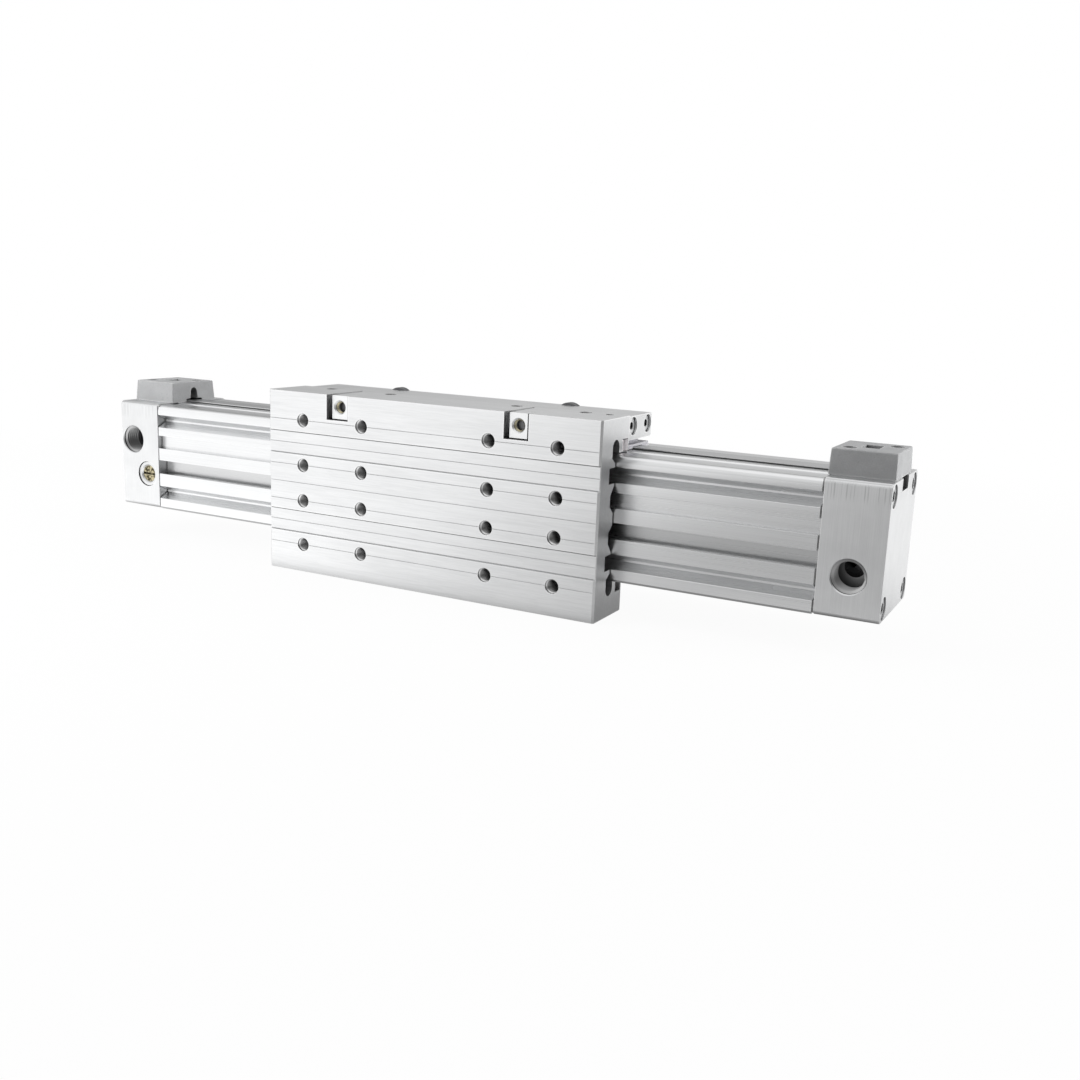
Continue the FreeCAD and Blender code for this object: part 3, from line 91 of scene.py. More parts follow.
class Shade:
    """One shader value; arithmetic on it adds Math nodes to its finish."""

    def __init__(self, finish, socket):
        self.finish = finish
        self.socket = socket

    def math(self, operation, first, second=0.0):
        return self.finish.add("ShaderNodeMath", {"operation": operation}, {0: first, 1: second})

    def __add__(self, other):
        return self.math("ADD", self, other)

    def __radd__(self, other):
        return self.math("ADD", other, self)

    def __sub__(self, other):
        return self.math("SUBTRACT", self, other)

    def __rsub__(self, other):
        return self.math("SUBTRACT", other, self)

    def __mul__(self, other):
        return self.math("MULTIPLY", self, other)

    def __rmul__(self, other):
        return self.math("MULTIPLY", other, self)

    def __pow__(self, other):
        return self.math("POWER", self, other)

    def largest(self, other):
        return self.math("MAXIMUM", self, other)

    def size(self):
        return self.math("ABSOLUTE", self)

    def twin(self, output):
        """Another output of the node that gave this value."""
        return Shade(self.finish, self.socket.node.outputs[output])


class Finish:
    """A material's or world's node tree, filled one node at a time."""

    def __init__(self, owner):
        owner.use_nodes = True
        self.owner = owner
        self.tree = owner.node_tree
        self.tree.nodes.clear()

    def add(self, kind, settings=None, inputs=None, output=0):
        made = self.tree.nodes.new(kind)
        for key, value in (settings or {}).items():
            setattr(made, key, value)
        for key, value in (inputs or {}).items():
            if isinstance(value, Shade):
                self.tree.links.new(value.socket, made.inputs[key])
            else:
                made.inputs[key].default_value = value
        return Shade(self, made.outputs[output])

    def blend(self, factor, low, high):
        """Colour between low and high."""
        return self.add("ShaderNodeMix", {"data_type": "RGBA"}, {0: factor, 6: low, 7: high}, 2)

    def step(self, value, low, high):
        """0 below low, 1 above high, smooth between them."""
        return self.add("ShaderNodeMapRange", {"interpolation_type": "SMOOTHSTEP"},
                        {0: value, 1: low, 2: high, 3: 0.0, 4: 1.0})

    def grain(self, scale, detail=3.0, roughness=0.5, distortion=0.0):
        """Noise on object coordinates, with a scale of its own along each axis, in waves a metre."""
        coordinates = self.add("ShaderNodeTexCoord", output="Object")
        stretched = self.add("ShaderNodeMapping", {"vector_type": "POINT"}, {0: coordinates, 3: scale})
        return self.add("ShaderNodeTexNoise", {"noise_dimensions": "3D"}, {
            "Vector": stretched, "Scale": 1.0, "Detail": detail, "Roughness": roughness,
            "Distortion": distortion})

    def near(self, axis, level, low, high, mirrored=False):
        """1 within low of a level along one axis, 0 beyond high; mirrored holds it at both ends."""
        coordinates = self.add("ShaderNodeTexCoord", output="Object")
        value = self.add("ShaderNodeSeparateXYZ", None, {0: coordinates}, axis)
        value = value.size() if mirrored else value
        return 1.0 - self.step((value - level * MM).size(), low * MM, high * MM)

    def edge(self, reach):
        """1 on outward edges, 0 on flats: how near the metal's other side lies."""
        settings = {"inside": True, "samples": 6, "only_local": True}
        open_share = self.add("ShaderNodeAmbientOcclusion", settings, {"Distance": reach}, 1)
        return self.step(1.0 - open_share, *EDGE_SHARES)

    def painted_shade_depth(self, reach, low=0.30, high=0.86):
        """1 deep in the piece's own holes and slots, 0 on open faces: where shade is painted in."""
        settings = {"samples": 8, "only_local": True}
        open_share = self.add("ShaderNodeAmbientOcclusion", settings, {"Distance": reach}, 1)
        return self.step(1.0 - open_share, low, high)

    def bump(self, height, strength, distance):
        return self.add("ShaderNodeBump", None, {
            "Strength": strength, "Distance": distance, "Height": height})

    def close(self, shader, kind="Material"):
        """Link a shader to the output."""
        surface = self.tree.nodes.new(f"ShaderNodeOutput{kind}")
        self.tree.links.new(shader.socket, surface.inputs["Surface"])
        return self.owner

    def metal(self, colour, roughness, normal):
        return self.close(self.add("ShaderNodeBsdfPrincipled", None, {
            "Base Color": colour, "Metallic": 1.0, "Roughness": roughness, "Normal": normal}))

    def dielectric(self, colour, roughness, normal, coat=0.0):
        return self.close(self.add("ShaderNodeBsdfPrincipled", None, {
            "Base Color": colour, "Roughness": roughness, "Normal": normal, "Coat Weight": coat}))


def tone(red, green=None, blue=None):
    """Opaque colour; one number alone gives a grey."""
    return (red, red if green is None else green, red if blue is None else blue, 1.0)


LOWEST = cad_box[0][2]
WHITE = tone(1.0)
FLOOR_SIZE = 12.0
FLOOR_GAP = 0.2 * MM
FLOOR_TONE = tone(0.55)
FLOOR_SHADOW_SHARE = 0.045
PAINTED_UNDER_SHADOW = 0.60
NEAR_PART = 0.26
FRONT_RIGHT = 0.44
FRONT_LEFT = 1.28
BEHIND_LOW = 1.20
BEHIND_HIGH = 0.62
BEHIND_LEFT = 0.34

# Stretches of the floor, in metres from the origin, over which one tone passes into the next
SHADOW_REACH = (0.25, 0.60)
FLOOR_BEHIND = (-0.02, 0.15)
FLOOR_LEFT = (-0.10, 0.15)
FLOOR_BESIDE = (0.05, 0.15)
UNDER_DEPTH = (0.03, 0.055)
UNDER_LENGTH = (0.17, 0.25)

bpy.ops.object.select_all(action="DESELECT")
bpy.ops.mesh.primitive_plane_add(size=FLOOR_SIZE, location=(0, 0, LOWEST - FLOOR_GAP))
floor = bpy.context.object
floor.name = "floor"
bpy.ops.object.transform_apply(location=True)
paper = bpy.data.materials.new("floor_paper")
finish = Finish(paper)
camera_ray = finish.add("ShaderNodeLightPath", output="Is Camera Ray")
glossy_ray = camera_ray.twin("Is Glossy Ray")
clear_ray = camera_ray.twin("Is Transmission Ray")
place = finish.add("ShaderNodeTexCoord", output="Object")
across = finish.add("ShaderNodeSeparateXYZ", None, {0: place}, 0)
behind = finish.step(across.twin(1), *FLOOR_BEHIND)
far = finish.add("ShaderNodeVectorMath", {"operation": "LENGTH"}, {0: place}, 1)
away = finish.step(far, *SHADOW_REACH)
front = FRONT_RIGHT + finish.step(0.0 - across, *FLOOR_LEFT) * (FRONT_LEFT - FRONT_RIGHT)
front = front + (1.0 - finish.step(across.twin(1).size(), *FLOOR_BESIDE)) * NEAR_PART
# Painted shadow: to mirrored rays the floor glows darker in a strip right under the object.
under_depth = 1.0 - finish.step(across.twin(1).size(), *UNDER_DEPTH)
under = under_depth * (1.0 - finish.step(across.size(), *UNDER_LENGTH))
mirrored = (front + (BEHIND_LOW - front) * behind) * (1.0 - under * PAINTED_UNDER_SHADOW)
matte = finish.add("ShaderNodeBsdfDiffuse", None, {"Color": FLOOR_TONE})
strength = 1.0 + (mirrored - 1.0) * glossy_ray
glow = finish.add("ShaderNodeEmission", None, {"Color": WHITE, "Strength": strength})
shadow_share = (1.0 - away) * FLOOR_SHADOW_SHARE
seen = camera_ray * (1.0 - shadow_share) + glossy_ray + clear_ray
finish.close(finish.add("ShaderNodeMixShader", None, {0: seen, 1: matte, 2: glow}))
floor.data.materials.append(paper)

# The room: white to the camera; metal mirrors it bright at the front left and overhead,
# and darker at the camera's own side and at the right. Each pair says where one tone passes
# into the next, as the share of the mirrored direction that points along an axis.
ROOM_LIGHT = 0.08
SKY = 1.10
RIGHT_WALL_LOSS = 0.75
ROOM_LEFT = (0.10, 0.60)
BACK_LEFT = (0.40, 0.80)
ROOM_BEHIND = (-0.30, 0.45)
ROOM_RIGHT = (0.50, 0.90)
ROOM_ABOVE = (0.45, 0.85)

room = bpy.data.worlds.new("room")
bpy.context.scene.world = room
finish = Finish(room)
camera_ray = finish.add("ShaderNodeLightPath", output="Is Camera Ray")
glossy_ray = camera_ray.twin("Is Glossy Ray")
clear_ray = camera_ray.twin("Is Transmission Ray")
way = finish.add("ShaderNodeTexCoord", output="Generated")
across = finish.add("ShaderNodeSeparateXYZ", None, {0: way}, 0)
front = FRONT_RIGHT + finish.step(0.0 - across, *ROOM_LEFT) * (FRONT_LEFT - FRONT_RIGHT)
back_wall = BEHIND_HIGH + finish.step(0.0 - across, *BACK_LEFT) * (BEHIND_LEFT - BEHIND_HIGH)
mirrored = front + (back_wall - front) * finish.step(across.twin(1), *ROOM_BEHIND)
mirrored = mirrored * (1.0 - finish.step(across, *ROOM_RIGHT) * RIGHT_WALL_LOSS)
mirrored = mirrored + (SKY - mirrored) * finish.step(across.twin(2), *ROOM_ABOVE)
strength = ROOM_LIGHT + (mirrored - ROOM_LIGHT) * glossy_ray
strength = strength + (1.0 - strength) * camera_ray.largest(clear_ray)
finish.close(finish.add("ShaderNodeBackground", None, {"Color": WHITE, "Strength": strength}), "World")


def soft_lamp(name, spot, aim, side, watts):
    """Square soft box that looks at a point; metal mirrors the room in its place."""
    bpy.ops.object.light_add(type="AREA", location=spot)
    lamp = bpy.context.object
    lamp.name = name
    lamp.data.shape = "SQUARE"
    lamp.data.size = side
    lamp.data.energy = watts
    lamp.rotation_euler = (Vector(aim) - Vector(spot)).to_track_quat("-Z", "Y").to_euler()
    lamp.visible_glossy = False


soft_lamp("lamp_front_left", spot=(-0.45, -0.35, 0.22), aim=(-0.15, 0.0, 0.03), side=0.35, watts=4.4)
soft_lamp("lamp_overhead", spot=(-0.20, -0.10, 1.20), aim=(0.0, 0.0, 0.0), side=1.2, watts=11.8)
soft_lamp("lamp_right", spot=(1.10, 0.30, 0.35), aim=(0.19, 0.0, 0.03), side=0.8, watts=21.0)


# Barrel
# The extruded aluminium profile that everything is built on: a round bore with a slot
# along its top, V grooves for the carriage and T slots for switches. Mill finish, cut to length.
MERGE_REACH = 0.002
FLAT_WITHIN = 0.3
LEVEL_WITHIN = 0.01
SHORTEST_RUN = 3.0


def take_over(node, name):
    """One clean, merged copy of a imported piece, which then stands for it."""
    piece = bpy.data.objects.new(name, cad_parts[node].data.copy())
    bpy.context.scene.collection.objects.link(piece)
    bpy.ops.object.select_all(action="DESELECT")
    piece.select_set(True)
    bpy.context.view_layer.objects.active = piece
    bpy.ops.mesh.customdata_custom_splitnormals_clear()
    bpy.ops.object.mode_set(mode="EDIT")
    bpy.ops.mesh.select_all(action="SELECT")
    bpy.ops.mesh.remove_doubles(threshold=MERGE_REACH * MM)
    bpy.ops.mesh.dissolve_limited(angle_limit=math.radians(FLAT_WITHIN))
    bpy.ops.object.mode_set(mode="OBJECT")
    return piece


def break_edges(piece, width, wanted, segments=2, sharp=40.0):
    """Round over the outward edges that the test accepts."""
    bpy.ops.object.mode_set(mode="EDIT")
    bpy.ops.mesh.select_mode(type="EDGE")
    bpy.ops.mesh.select_all(action="DESELECT")
    shape = bmesh.from_edit_mesh(piece.data)
    for edge in shape.edges:
        if len(edge.link_faces) == 2 and edge.is_convex and edge.calc_face_angle() > math.radians(sharp):
            start, end = (corner.co / MM for corner in edge.verts)
            edge.select_set(wanted(start, end))
    bmesh.update_edit_mesh(piece.data)
    bpy.ops.mesh.bevel(offset=width * MM, offset_type="OFFSET", segments=segments, profile=0.5,
                       affect="EDGES", clamp_overlap=False)
    bpy.ops.object.mode_set(mode="OBJECT")


def smooth(piece, angle=34.0):
    """Even shading: flats stay flat, rounds look round."""
    bpy.ops.object.select_all(action="DESELECT")
    piece.select_set(True)
    bpy.context.view_layer.objects.active = piece
    bpy.ops.object.shade_smooth_by_angle(angle=math.radians(angle))
    bpy.ops.object.modifier_add(type="WEIGHTED_NORMAL")
    piece.modifiers[-1].keep_sharp = True
    bpy.ops.object.modifier_apply(modifier=piece.modifiers[-1].name)


def dress(piece, material, body, slot, *nodes):
    """Give a piece its finish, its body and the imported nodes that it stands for."""
    piece.data.materials.clear()
    piece.data.materials.append(material)
    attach(piece, body)
    if nodes:
        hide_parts(*nodes)


def coat_nodes(material, *nodes):
    """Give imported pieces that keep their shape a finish."""
    for name in nodes:
        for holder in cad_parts[name].material_slots:
            holder.material = material


def along_x(start, end):
    """An edge that runs along the barrel, and no short facet of a curve."""
    level = abs(start.y - end.y) < LEVEL_WITHIN and abs(start.z - end.z) < LEVEL_WITHIN
    return level and abs(start.x - end.x) > SHORTEST_RUN


BARREL_COLOUR = tone(0.83, 0.835, 0.84)
BARREL_SHADE = tone(0.74, 0.745, 0.75)
BARREL_TOP = 52.0
BARREL_HALF = 24.0
CORNER_INSET = 0.75
CORNER_REACH = 0.8
CORNER_DEPTH = 3.6
FLANK_REACH = 0.2
FLANK_TOP = 48.6
SLOT_SURROUND = 12.0
SLOT_RIM = 0.7
SENSOR_SLOT_Z = 21.0
SENSOR_SLOT_HEIGHT = (3.8, 4.3)
SENSOR_SLOT_FLOOR = (22.0, 23.0)

finish = Finish(bpy.data.materials.new("mill_finish_extrusion"))
die_lines = finish.grain((6.0, 2600.0, 2600.0), 4.0, 0.6)
fine_lines = finish.grain((22.0, 9000.0, 9000.0), 2.0, 0.5)
clouds = finish.grain((28.0, 60.0, 60.0), 3.0, 0.6)
edge_wear_and_highlight = finish.edge(0.7 * MM)
lines = die_lines * 0.6 + fine_lines * 0.4
shade = finish.blend(finish.step(lines * 0.75 + clouds * 0.25, 0.30, 0.72), BARREL_SHADE, BARREL_COLOUR)
# Painted highlight, partly edge wear: outward edges lighter.
shade = finish.blend(edge_wear_and_highlight * 0.2, shade, tone(0.92))
# Painted shade: darker deep in the grooves and slots, darker still inside the switch slots.
shade = finish.blend(finish.painted_shade_depth(1.0 * MM, 0.45, 0.80) * 0.25, shade, tone(0.08))
shaded_slot = finish.near(2, SENSOR_SLOT_Z, *SENSOR_SLOT_HEIGHT) * finish.near(1, 0.0, *SENSOR_SLOT_FLOOR)
shade = finish.blend(shaded_slot * 0.25, shade, tone(0.10))
extrusion = finish.metal(shade, 0.20 + lines * 0.18 - edge_wear_and_highlight * 0.05, finish.bump(lines, 0.12, 0.02 * MM))


def on_top_corner(start, end):
    """Long edges of the two corners between the barrel's top and its sides."""
    beside = abs(abs(start.y) - BARREL_HALF + CORNER_INSET) < CORNER_REACH
    return along_x(start, end) and beside and start.z > BARREL_TOP - CORNER_DEPTH


def on_flank_or_slot(start, end):
    """Long edges of the barrel's sides below those corners, and of the slot in its top."""
    on_flank = abs(start.y) > BARREL_HALF - FLANK_REACH and start.z < FLANK_TOP
    on_slot = abs(start.y) < SLOT_SURROUND and start.z > BARREL_TOP - SLOT_RIM
    return along_x(start, end) and (on_flank or on_slot)


barrel = take_over("barrel", "barrel_profile")
break_edges(barrel, 0.55, on_top_corner, segments=3, sharp=10.0)
break_edges(barrel, 0.18, on_flank_or_slot, sharp=30.0)
smooth(barrel)
dress(barrel, extrusion, "cylinder", "extrusion", "barrel")


# End caps
# Machined aluminium blocks screwed to both ends of the barrel. Each has ports, a cushion
# screw and a channel for the bands. A thin grey gasket shows at the joint.
CAP_FACE_X = 165.0
CAP_END_X = 189.5
CAP_MIDDLE_X = 177.25
CAP_MIDDLE_Z = 26.0
CAP_ROUND = 2.0
CAP_WITHIN = 0.05
CHANNEL_REACH = 6.5
CAP_INSIDE_X = (11.6, 12.1)
CAP_INSIDE_Y = (23.2, 23.8)
CAP_INSIDE_Z = (25.3, 25.9)
SCRATCHED_Z = 48.0
SCRATCHED_REACH = (1.0, 5.0)
SIDES = (("left", -1.0), ("right", 1.0))

finish = Finish(bpy.data.materials.new("brushed_cap"))
upright_lines = finish.grain((5200.0, 5200.0, 45.0), 4.0, 0.6)
flat_lines = finish.grain((120.0, 3800.0, 3800.0), 3.0, 0.6)
clouds = finish.grain((90.0, 90.0, 90.0), 3.0, 0.55)
facing = finish.add("ShaderNodeNewGeometry", output="Normal")
end_on = finish.step(finish.add("ShaderNodeSeparateXYZ", None, {0: facing}, 2) ** 2.0, 0.3, 0.6)
lines = upright_lines + (flat_lines - upright_lines) * end_on
edge_wear_and_highlight = finish.edge(0.8 * MM)
shade = finish.blend(finish.step(lines * 0.6 + clouds * 0.4, 0.30, 0.70), tone(0.70, 0.705, 0.71),
                     tone(0.80, 0.805, 0.81))
# Painted highlight, partly edge wear: outward edges lighter.
shade = finish.blend(edge_wear_and_highlight * 0.40, shade, tone(0.93))
# Painted shade: darker deep in holes and ports, darker still inside the bores.
shade = finish.blend(finish.painted_shade_depth(15.0 * MM, 0.20, 0.62) * 0.35, shade, tone(0.06))
shaded_bores = finish.near(0, CAP_MIDDLE_X, *CAP_INSIDE_X, mirrored=True) * finish.near(1, 0.0, *CAP_INSIDE_Y)
shaded_bores = shaded_bores * finish.near(2, CAP_MIDDLE_Z, *CAP_INSIDE_Z)
shade = finish.blend(shaded_bores * 0.52, shade, tone(0.05))
scratches = finish.step(finish.grain((2600.0, 2600.0, 25.0), 2.0, 0.5), 0.54, 0.68)
scratches = scratches * finish.near(2, SCRATCHED_Z, *SCRATCHED_REACH)
shade = finish.blend(scratches * 0.4, shade, tone(0.30))
brushed_cap = finish.metal(shade, 0.26 + lines * 0.24 - edge_wear_and_highlight * 0.05, finish.bump(lines, 0.22, 0.02 * MM))

finish = Finish(bpy.data.materials.new("black_rubber"))
skin = finish.grain((1400.0, 1400.0, 1400.0), 3.0, 0.6)
shade = finish.blend(skin, tone(0.010), tone(0.028))
black_rubber = finish.dielectric(shade, 0.46 + skin * 0.24, finish.bump(skin, 0.25, 0.04 * MM))

finish = Finish(bpy.data.materials.new("grey_gasket"))
skin = finish.grain((900.0, 900.0, 900.0), 3.0, 0.6)
shade = finish.blend(skin, tone(0.26), tone(0.38))
grey_gasket = finish.dielectric(shade, 0.55 + skin * 0.2, finish.bump(skin, 0.20, 0.03 * MM))


def on_cap_outside(spot):
    """A point of the block's rounded outline, clear of the screw holes beside it."""
    across = BARREL_HALF - abs(spot.y)
    up = min(spot.z, BARREL_TOP - spot.z)
    flush = min(across, up) < CAP_WITHIN
    return flush or max(across, up) < CAP_ROUND + LEVEL_WITHIN


def on_cap_rim(start, end):
    """Edges of the cap's outer end and of its joint face, outside the channel for the bands."""
    for level in (CAP_FACE_X, CAP_END_X):
        if all(abs(abs(corner.x) - level) < LEVEL_WITHIN for corner in (start, end)):
            in_channel = abs(start.y) < CHANNEL_REACH and abs(end.y) < CHANNEL_REACH
            outside = on_cap_outside(start) and on_cap_outside(end)
            return outside and not in_channel and (start - end).length > 0.1
    return False


for side_name, side in SIDES:
    cap = take_over(f"end_cap_{side_name}", f"end_cap_{side_name}_block")
    break_edges(cap, 0.35, on_cap_rim)
    smooth(cap)
    dress(cap, brushed_cap, "cylinder", "machined_cap", f"end_cap_{side_name}")
    coat_nodes(grey_gasket, f"cap_gasket_{side_name}")
    coat_nodes(black_rubber, f"cap_o_ring_{side_name}", f"cushion_seal_{side_name}",
               f"needle_o_ring_{side_name}", f"piston_seal_{side_name}")


# Port threads
# The threads tapped in the caps' front ports and base holes: a fine V ridge that winds
# down the wall of each bore.
ROOT_OVERLAP = 0.06
FLANK_SHARE = 0.46
THREAD_MERGE = 0.0005


def tapped(name, radius, ridge, pitch, run, steps):
    """Ridges of an internal thread along -Z from the origin, swept from one small triangle."""
    bpy.ops.object.select_all(action="DESELECT")
    bpy.ops.mesh.primitive_circle_add(vertices=3, radius=pitch * MM, fill_type="NOTHING")
    piece = bpy.context.object
    piece.name = name
    root = (radius + ROOT_OVERLAP) * MM
    profile = ((root, FLANK_SHARE), (root, -FLANK_SHARE), ((radius - ridge) * MM, 0.0))
    for corner, (reach, share) in zip(piece.data.vertices, profile):
        corner.co = (reach, 0.0, share * pitch * MM)
    bpy.ops.object.modifier_add(type="SCREW")
    sweep = piece.modifiers[-1]
    sweep.axis = "Z"
    sweep.angle = math.tau
    sweep.screw_offset = -pitch * MM
    sweep.iterations = max(1, int((run - pitch) / pitch))
    sweep.steps = steps
    sweep.render_steps = steps
    bpy.ops.object.modifier_apply(modifier=sweep.name)
    bpy.ops.object.mode_set(mode="EDIT")
    bpy.ops.mesh.select_all(action="SELECT")
    bpy.ops.mesh.remove_doubles(threshold=THREAD_MERGE * MM)
    bpy.ops.mesh.select_mode(type="EDGE")
    bpy.ops.mesh.select_all(action="DESELECT")
    bpy.ops.mesh.select_non_manifold()
    bpy.ops.mesh.edge_face_add()
    bpy.ops.mesh.select_all(action="SELECT")
    bpy.ops.mesh.normals_make_consistent(inside=False)
    bpy.ops.object.mode_set(mode="OBJECT")
    piece.data.transform(Matrix.Translation((0.0, 0.0, -pitch * 0.5 * MM)))
    return piece


def copy_to(piece, name, place, turned):
    """A copy with its own mesh, moved from the origin to a place."""
    twin = bpy.data.objects.new(name, piece.data.copy())
    bpy.context.scene.collection.objects.link(twin)
    twin.data.transform(Matrix.Translation(Vector(place) * MM) @ turned)
    return twin


def join(pieces, name):
    """Several objects made one piece."""
    bpy.ops.object.select_all(action="DESELECT")
    for piece in pieces:
        piece.select_set(True)
    bpy.context.view_layer.objects.active = pieces[0]
    bpy.ops.object.join()
    pieces[0].name = name
    return pieces[0]


FROM_FRONT = Matrix.Rotation(math.radians(90.0), 4, "X")
FROM_BELOW = Matrix.Rotation(math.radians(180.0), 4, "X")
PORT_RADIUS = 6.58
PORT_RIDGE = 0.95
PORT_PITCH = 1.337
PORT_RUN = 9.6
PORT_START = 0.45
PORTS = (("left", -181.8, 33.2), ("right", 176.8, 16.2))
BASE_HOLE_Y = 12.0
BASE_HOLE_START = 0.2

ridges = tapped("port_ridges", PORT_RADIUS, PORT_RIDGE, PORT_PITCH, PORT_RUN, steps=40)
for side_name, x, z in PORTS:
    port = copy_to(ridges, f"port_thread_{side_name}", (x, -BARREL_HALF + PORT_START, z), FROM_FRONT)
    smooth(port, angle=30.0)
    dress(port, brushed_cap, "cylinder", "machined_cap")
bpy.data.objects.remove(ridges)

ridges = tapped("base_ridges", radius=2.5, ridge=0.38, pitch=0.8, run=7.0, steps=20)
for side_name, side in SIDES:
    spots = [(side * CAP_MIDDLE_X, row * BASE_HOLE_Y, BASE_HOLE_START) for row in (-1.0, 1.0)]
    holes = [copy_to(ridges, "base_hole", spot, FROM_BELOW) for spot in spots]
    base = join(holes, f"base_threads_{side_name}")
    smooth(base, angle=30.0)
    dress(base, brushed_cap, "cylinder", "machined_cap")
bpy.data.objects.remove(ridges)


# Screws
# The steel screws of the cylinder and the carriage: zinc-plated ones with a hexagon socket
# pressed into a turned head, blackened set screws and round-head bolts, bright slot nuts.
finish = Finish(bpy.data.materials.new("zinc_plated_steel"))
mottle = finish.grain((900.0, 900.0, 900.0), 3.0, 0.6)
turned = finish.grain((2600.0, 2600.0, 2600.0), 2.0, 0.5, 1.5)
edge_wear_and_highlight = finish.edge(0.4 * MM)
shade = finish.blend(mottle, tone(0.64, 0.65, 0.67), tone(0.82, 0.82, 0.81))
# Painted highlight, partly edge wear: outward edges lighter.
shade = finish.blend(edge_wear_and_highlight * 0.6, shade, tone(0.88))
# Painted shade: near black deep in the sockets and holes.
shade = finish.blend(finish.painted_shade_depth(4.0 * MM) * 0.88, shade, tone(0.03))
zinc = finish.metal(shade, 0.26 + turned * 0.20 - edge_wear_and_highlight * 0.05, finish.bump(turned, 0.10, 0.02 * MM))

finish = Finish(bpy.data.materials.new("blackened_steel"))
mottle = finish.grain((800.0, 800.0, 800.0), 3.0, 0.6)
edge_wear_and_highlight = finish.edge(0.4 * MM)
shade = finish.blend(mottle, tone(0.10, 0.10, 0.105), tone(0.20, 0.20, 0.205))
# Painted highlight, partly edge wear: outward edges lighter.
shade = finish.blend(edge_wear_and_highlight * 0.5, shade, tone(0.42))
dark_steel = finish.metal(shade, 0.30 + mottle * 0.20, finish.bump(mottle, 0.10, 0.02 * MM))

finish = Finish(bpy.data.materials.new("bright_nut"))
mottle = finish.grain((600.0, 600.0, 600.0), 3.0, 0.6)
edge_wear_and_highlight = finish.edge(0.4 * MM)
shade = finish.blend(mottle, tone(0.78, 0.79, 0.80), tone(0.90))
# Painted highlight, partly edge wear: outward edges lighter.
shade = finish.blend(edge_wear_and_highlight * 0.5, shade, tone(0.95))
bright_nut = finish.metal(shade, 0.28 + mottle * 0.16, finish.bump(mottle, 0.10, 0.02 * MM))

coat_nodes(dark_steel, "guide_screws")
coat_nodes(zinc, "bridge_screws", "piston_screws")
for side_name, side in SIDES:
    coat_nodes(zinc, f"cap_screws_{side_name}", f"cover_screws_{side_name}", f"clamp_screw_{side_name}",
               f"yoke_end_screws_{side_name}", f"port_plug_{side_name}", f"needle_bushing_{side_name}")
    coat_nodes(dark_steel, f"clamp_bolt_{side_name}")
    coat_nodes(bright_nut, f"slot_nut_{side_name}")


# Cushion screws
# Turned brass needles with a screwdriver slot, which meter the air at the end of the
# stroke. Each turns in a plated bushing in its cap.
finish = Finish(bpy.data.materials.new("turned_brass"))
mottle = finish.grain((700.0, 700.0, 700.0), 3.0, 0.6)
turned = finish.grain((4000.0, 900.0, 4000.0), 2.0, 0.5)
edge_wear_and_highlight = finish.edge(0.4 * MM)
shade = finish.blend(finish.step(mottle, 0.42, 0.60), tone(0.07, 0.06, 0.035), tone(0.54, 0.48, 0.31))
# Painted highlight, partly edge wear: lighter rings on outward edges.
shade = finish.blend(edge_wear_and_highlight * 0.6, shade, tone(0.78, 0.72, 0.52))
# Painted shade: darker deep in the slot.
shade = finish.blend(finish.painted_shade_depth(2.5 * MM) * 0.6, shade, tone(0.04, 0.03, 0.02))
brass = finish.metal(shade, 0.26 + turned * 0.22, finish.bump(turned, 0.12, 0.02 * MM))
coat_nodes(brass, "cushion_needle_left", "cushion_needle_right")


# Band covers
# Die-cast covers over the ends of the bands, with a window, an arch at the inner end and
# two screw holes each. Matte grey, with a fine cast skin and rounded edges.
finish = Finish(bpy.data.materials.new("grey_casting"))
skin = finish.grain((2100.0, 2100.0, 2100.0), 4.0, 0.65)
pores = finish.grain((520.0, 520.0, 520.0), 2.0, 0.5)
clouds = finish.grain((110.0, 110.0, 110.0), 3.0, 0.6)
edge_wear_and_highlight = finish.edge(0.8 * MM)
shade = finish.blend(finish.step(skin * 0.5 + clouds * 0.5, 0.30, 0.70), tone(0.22, 0.222, 0.225),
                     tone(0.28, 0.283, 0.287))
shade = finish.blend(finish.step(pores, 0.66, 0.76) * 0.35, shade, tone(0.13))
# Painted highlight, partly edge wear: outward edges lighter.
shade = finish.blend(edge_wear_and_highlight * 0.35, shade, tone(0.48))
# Painted shade: near black deep in the window, arch and holes.
shade = finish.blend(finish.painted_shade_depth(5.0 * MM, 0.15, 0.60) * 0.85, shade, tone(0.02))
grip = 0.50 + skin * 0.16 - edge_wear_and_highlight * 0.10
casting = finish.dielectric(shade, grip, finish.bump(skin, 0.30, 0.05 * MM), coat=0.08)

COVER_INNER_X = 163.9
COVER_OUTER_X = 188.4
COVER_HALF_WIDTH = 14.5
COVER_DRAFT = 0.7
SEAT_REACH = 0.1
SHORTEST_CORNER = 2.0


def on_cover_outside(start, end):
    """Corners and top rim of the cover, not its window, arch or screw holes."""
    for corner in (start, end):
        on_flank = abs(abs(corner.y) - COVER_HALF_WIDTH) < COVER_DRAFT
        on_end = any(abs(abs(corner.x) - level) < COVER_DRAFT for level in (COVER_INNER_X, COVER_OUTER_X))
        if not (on_flank or on_end):
            return False
    seated = max(start.z, end.z) < BARREL_TOP + SEAT_REACH
    return (start - end).length >= SHORTEST_CORNER and not seated


for side_name, side in SIDES:
    cover = take_over(f"band_cover_{side_name}", f"band_cover_{side_name}_cast")
    break_edges(cover, 0.55, on_cover_outside, segments=3)
    smooth(cover)
    dress(cover, casting, "cylinder", "cover_casting", f"band_cover_{side_name}")


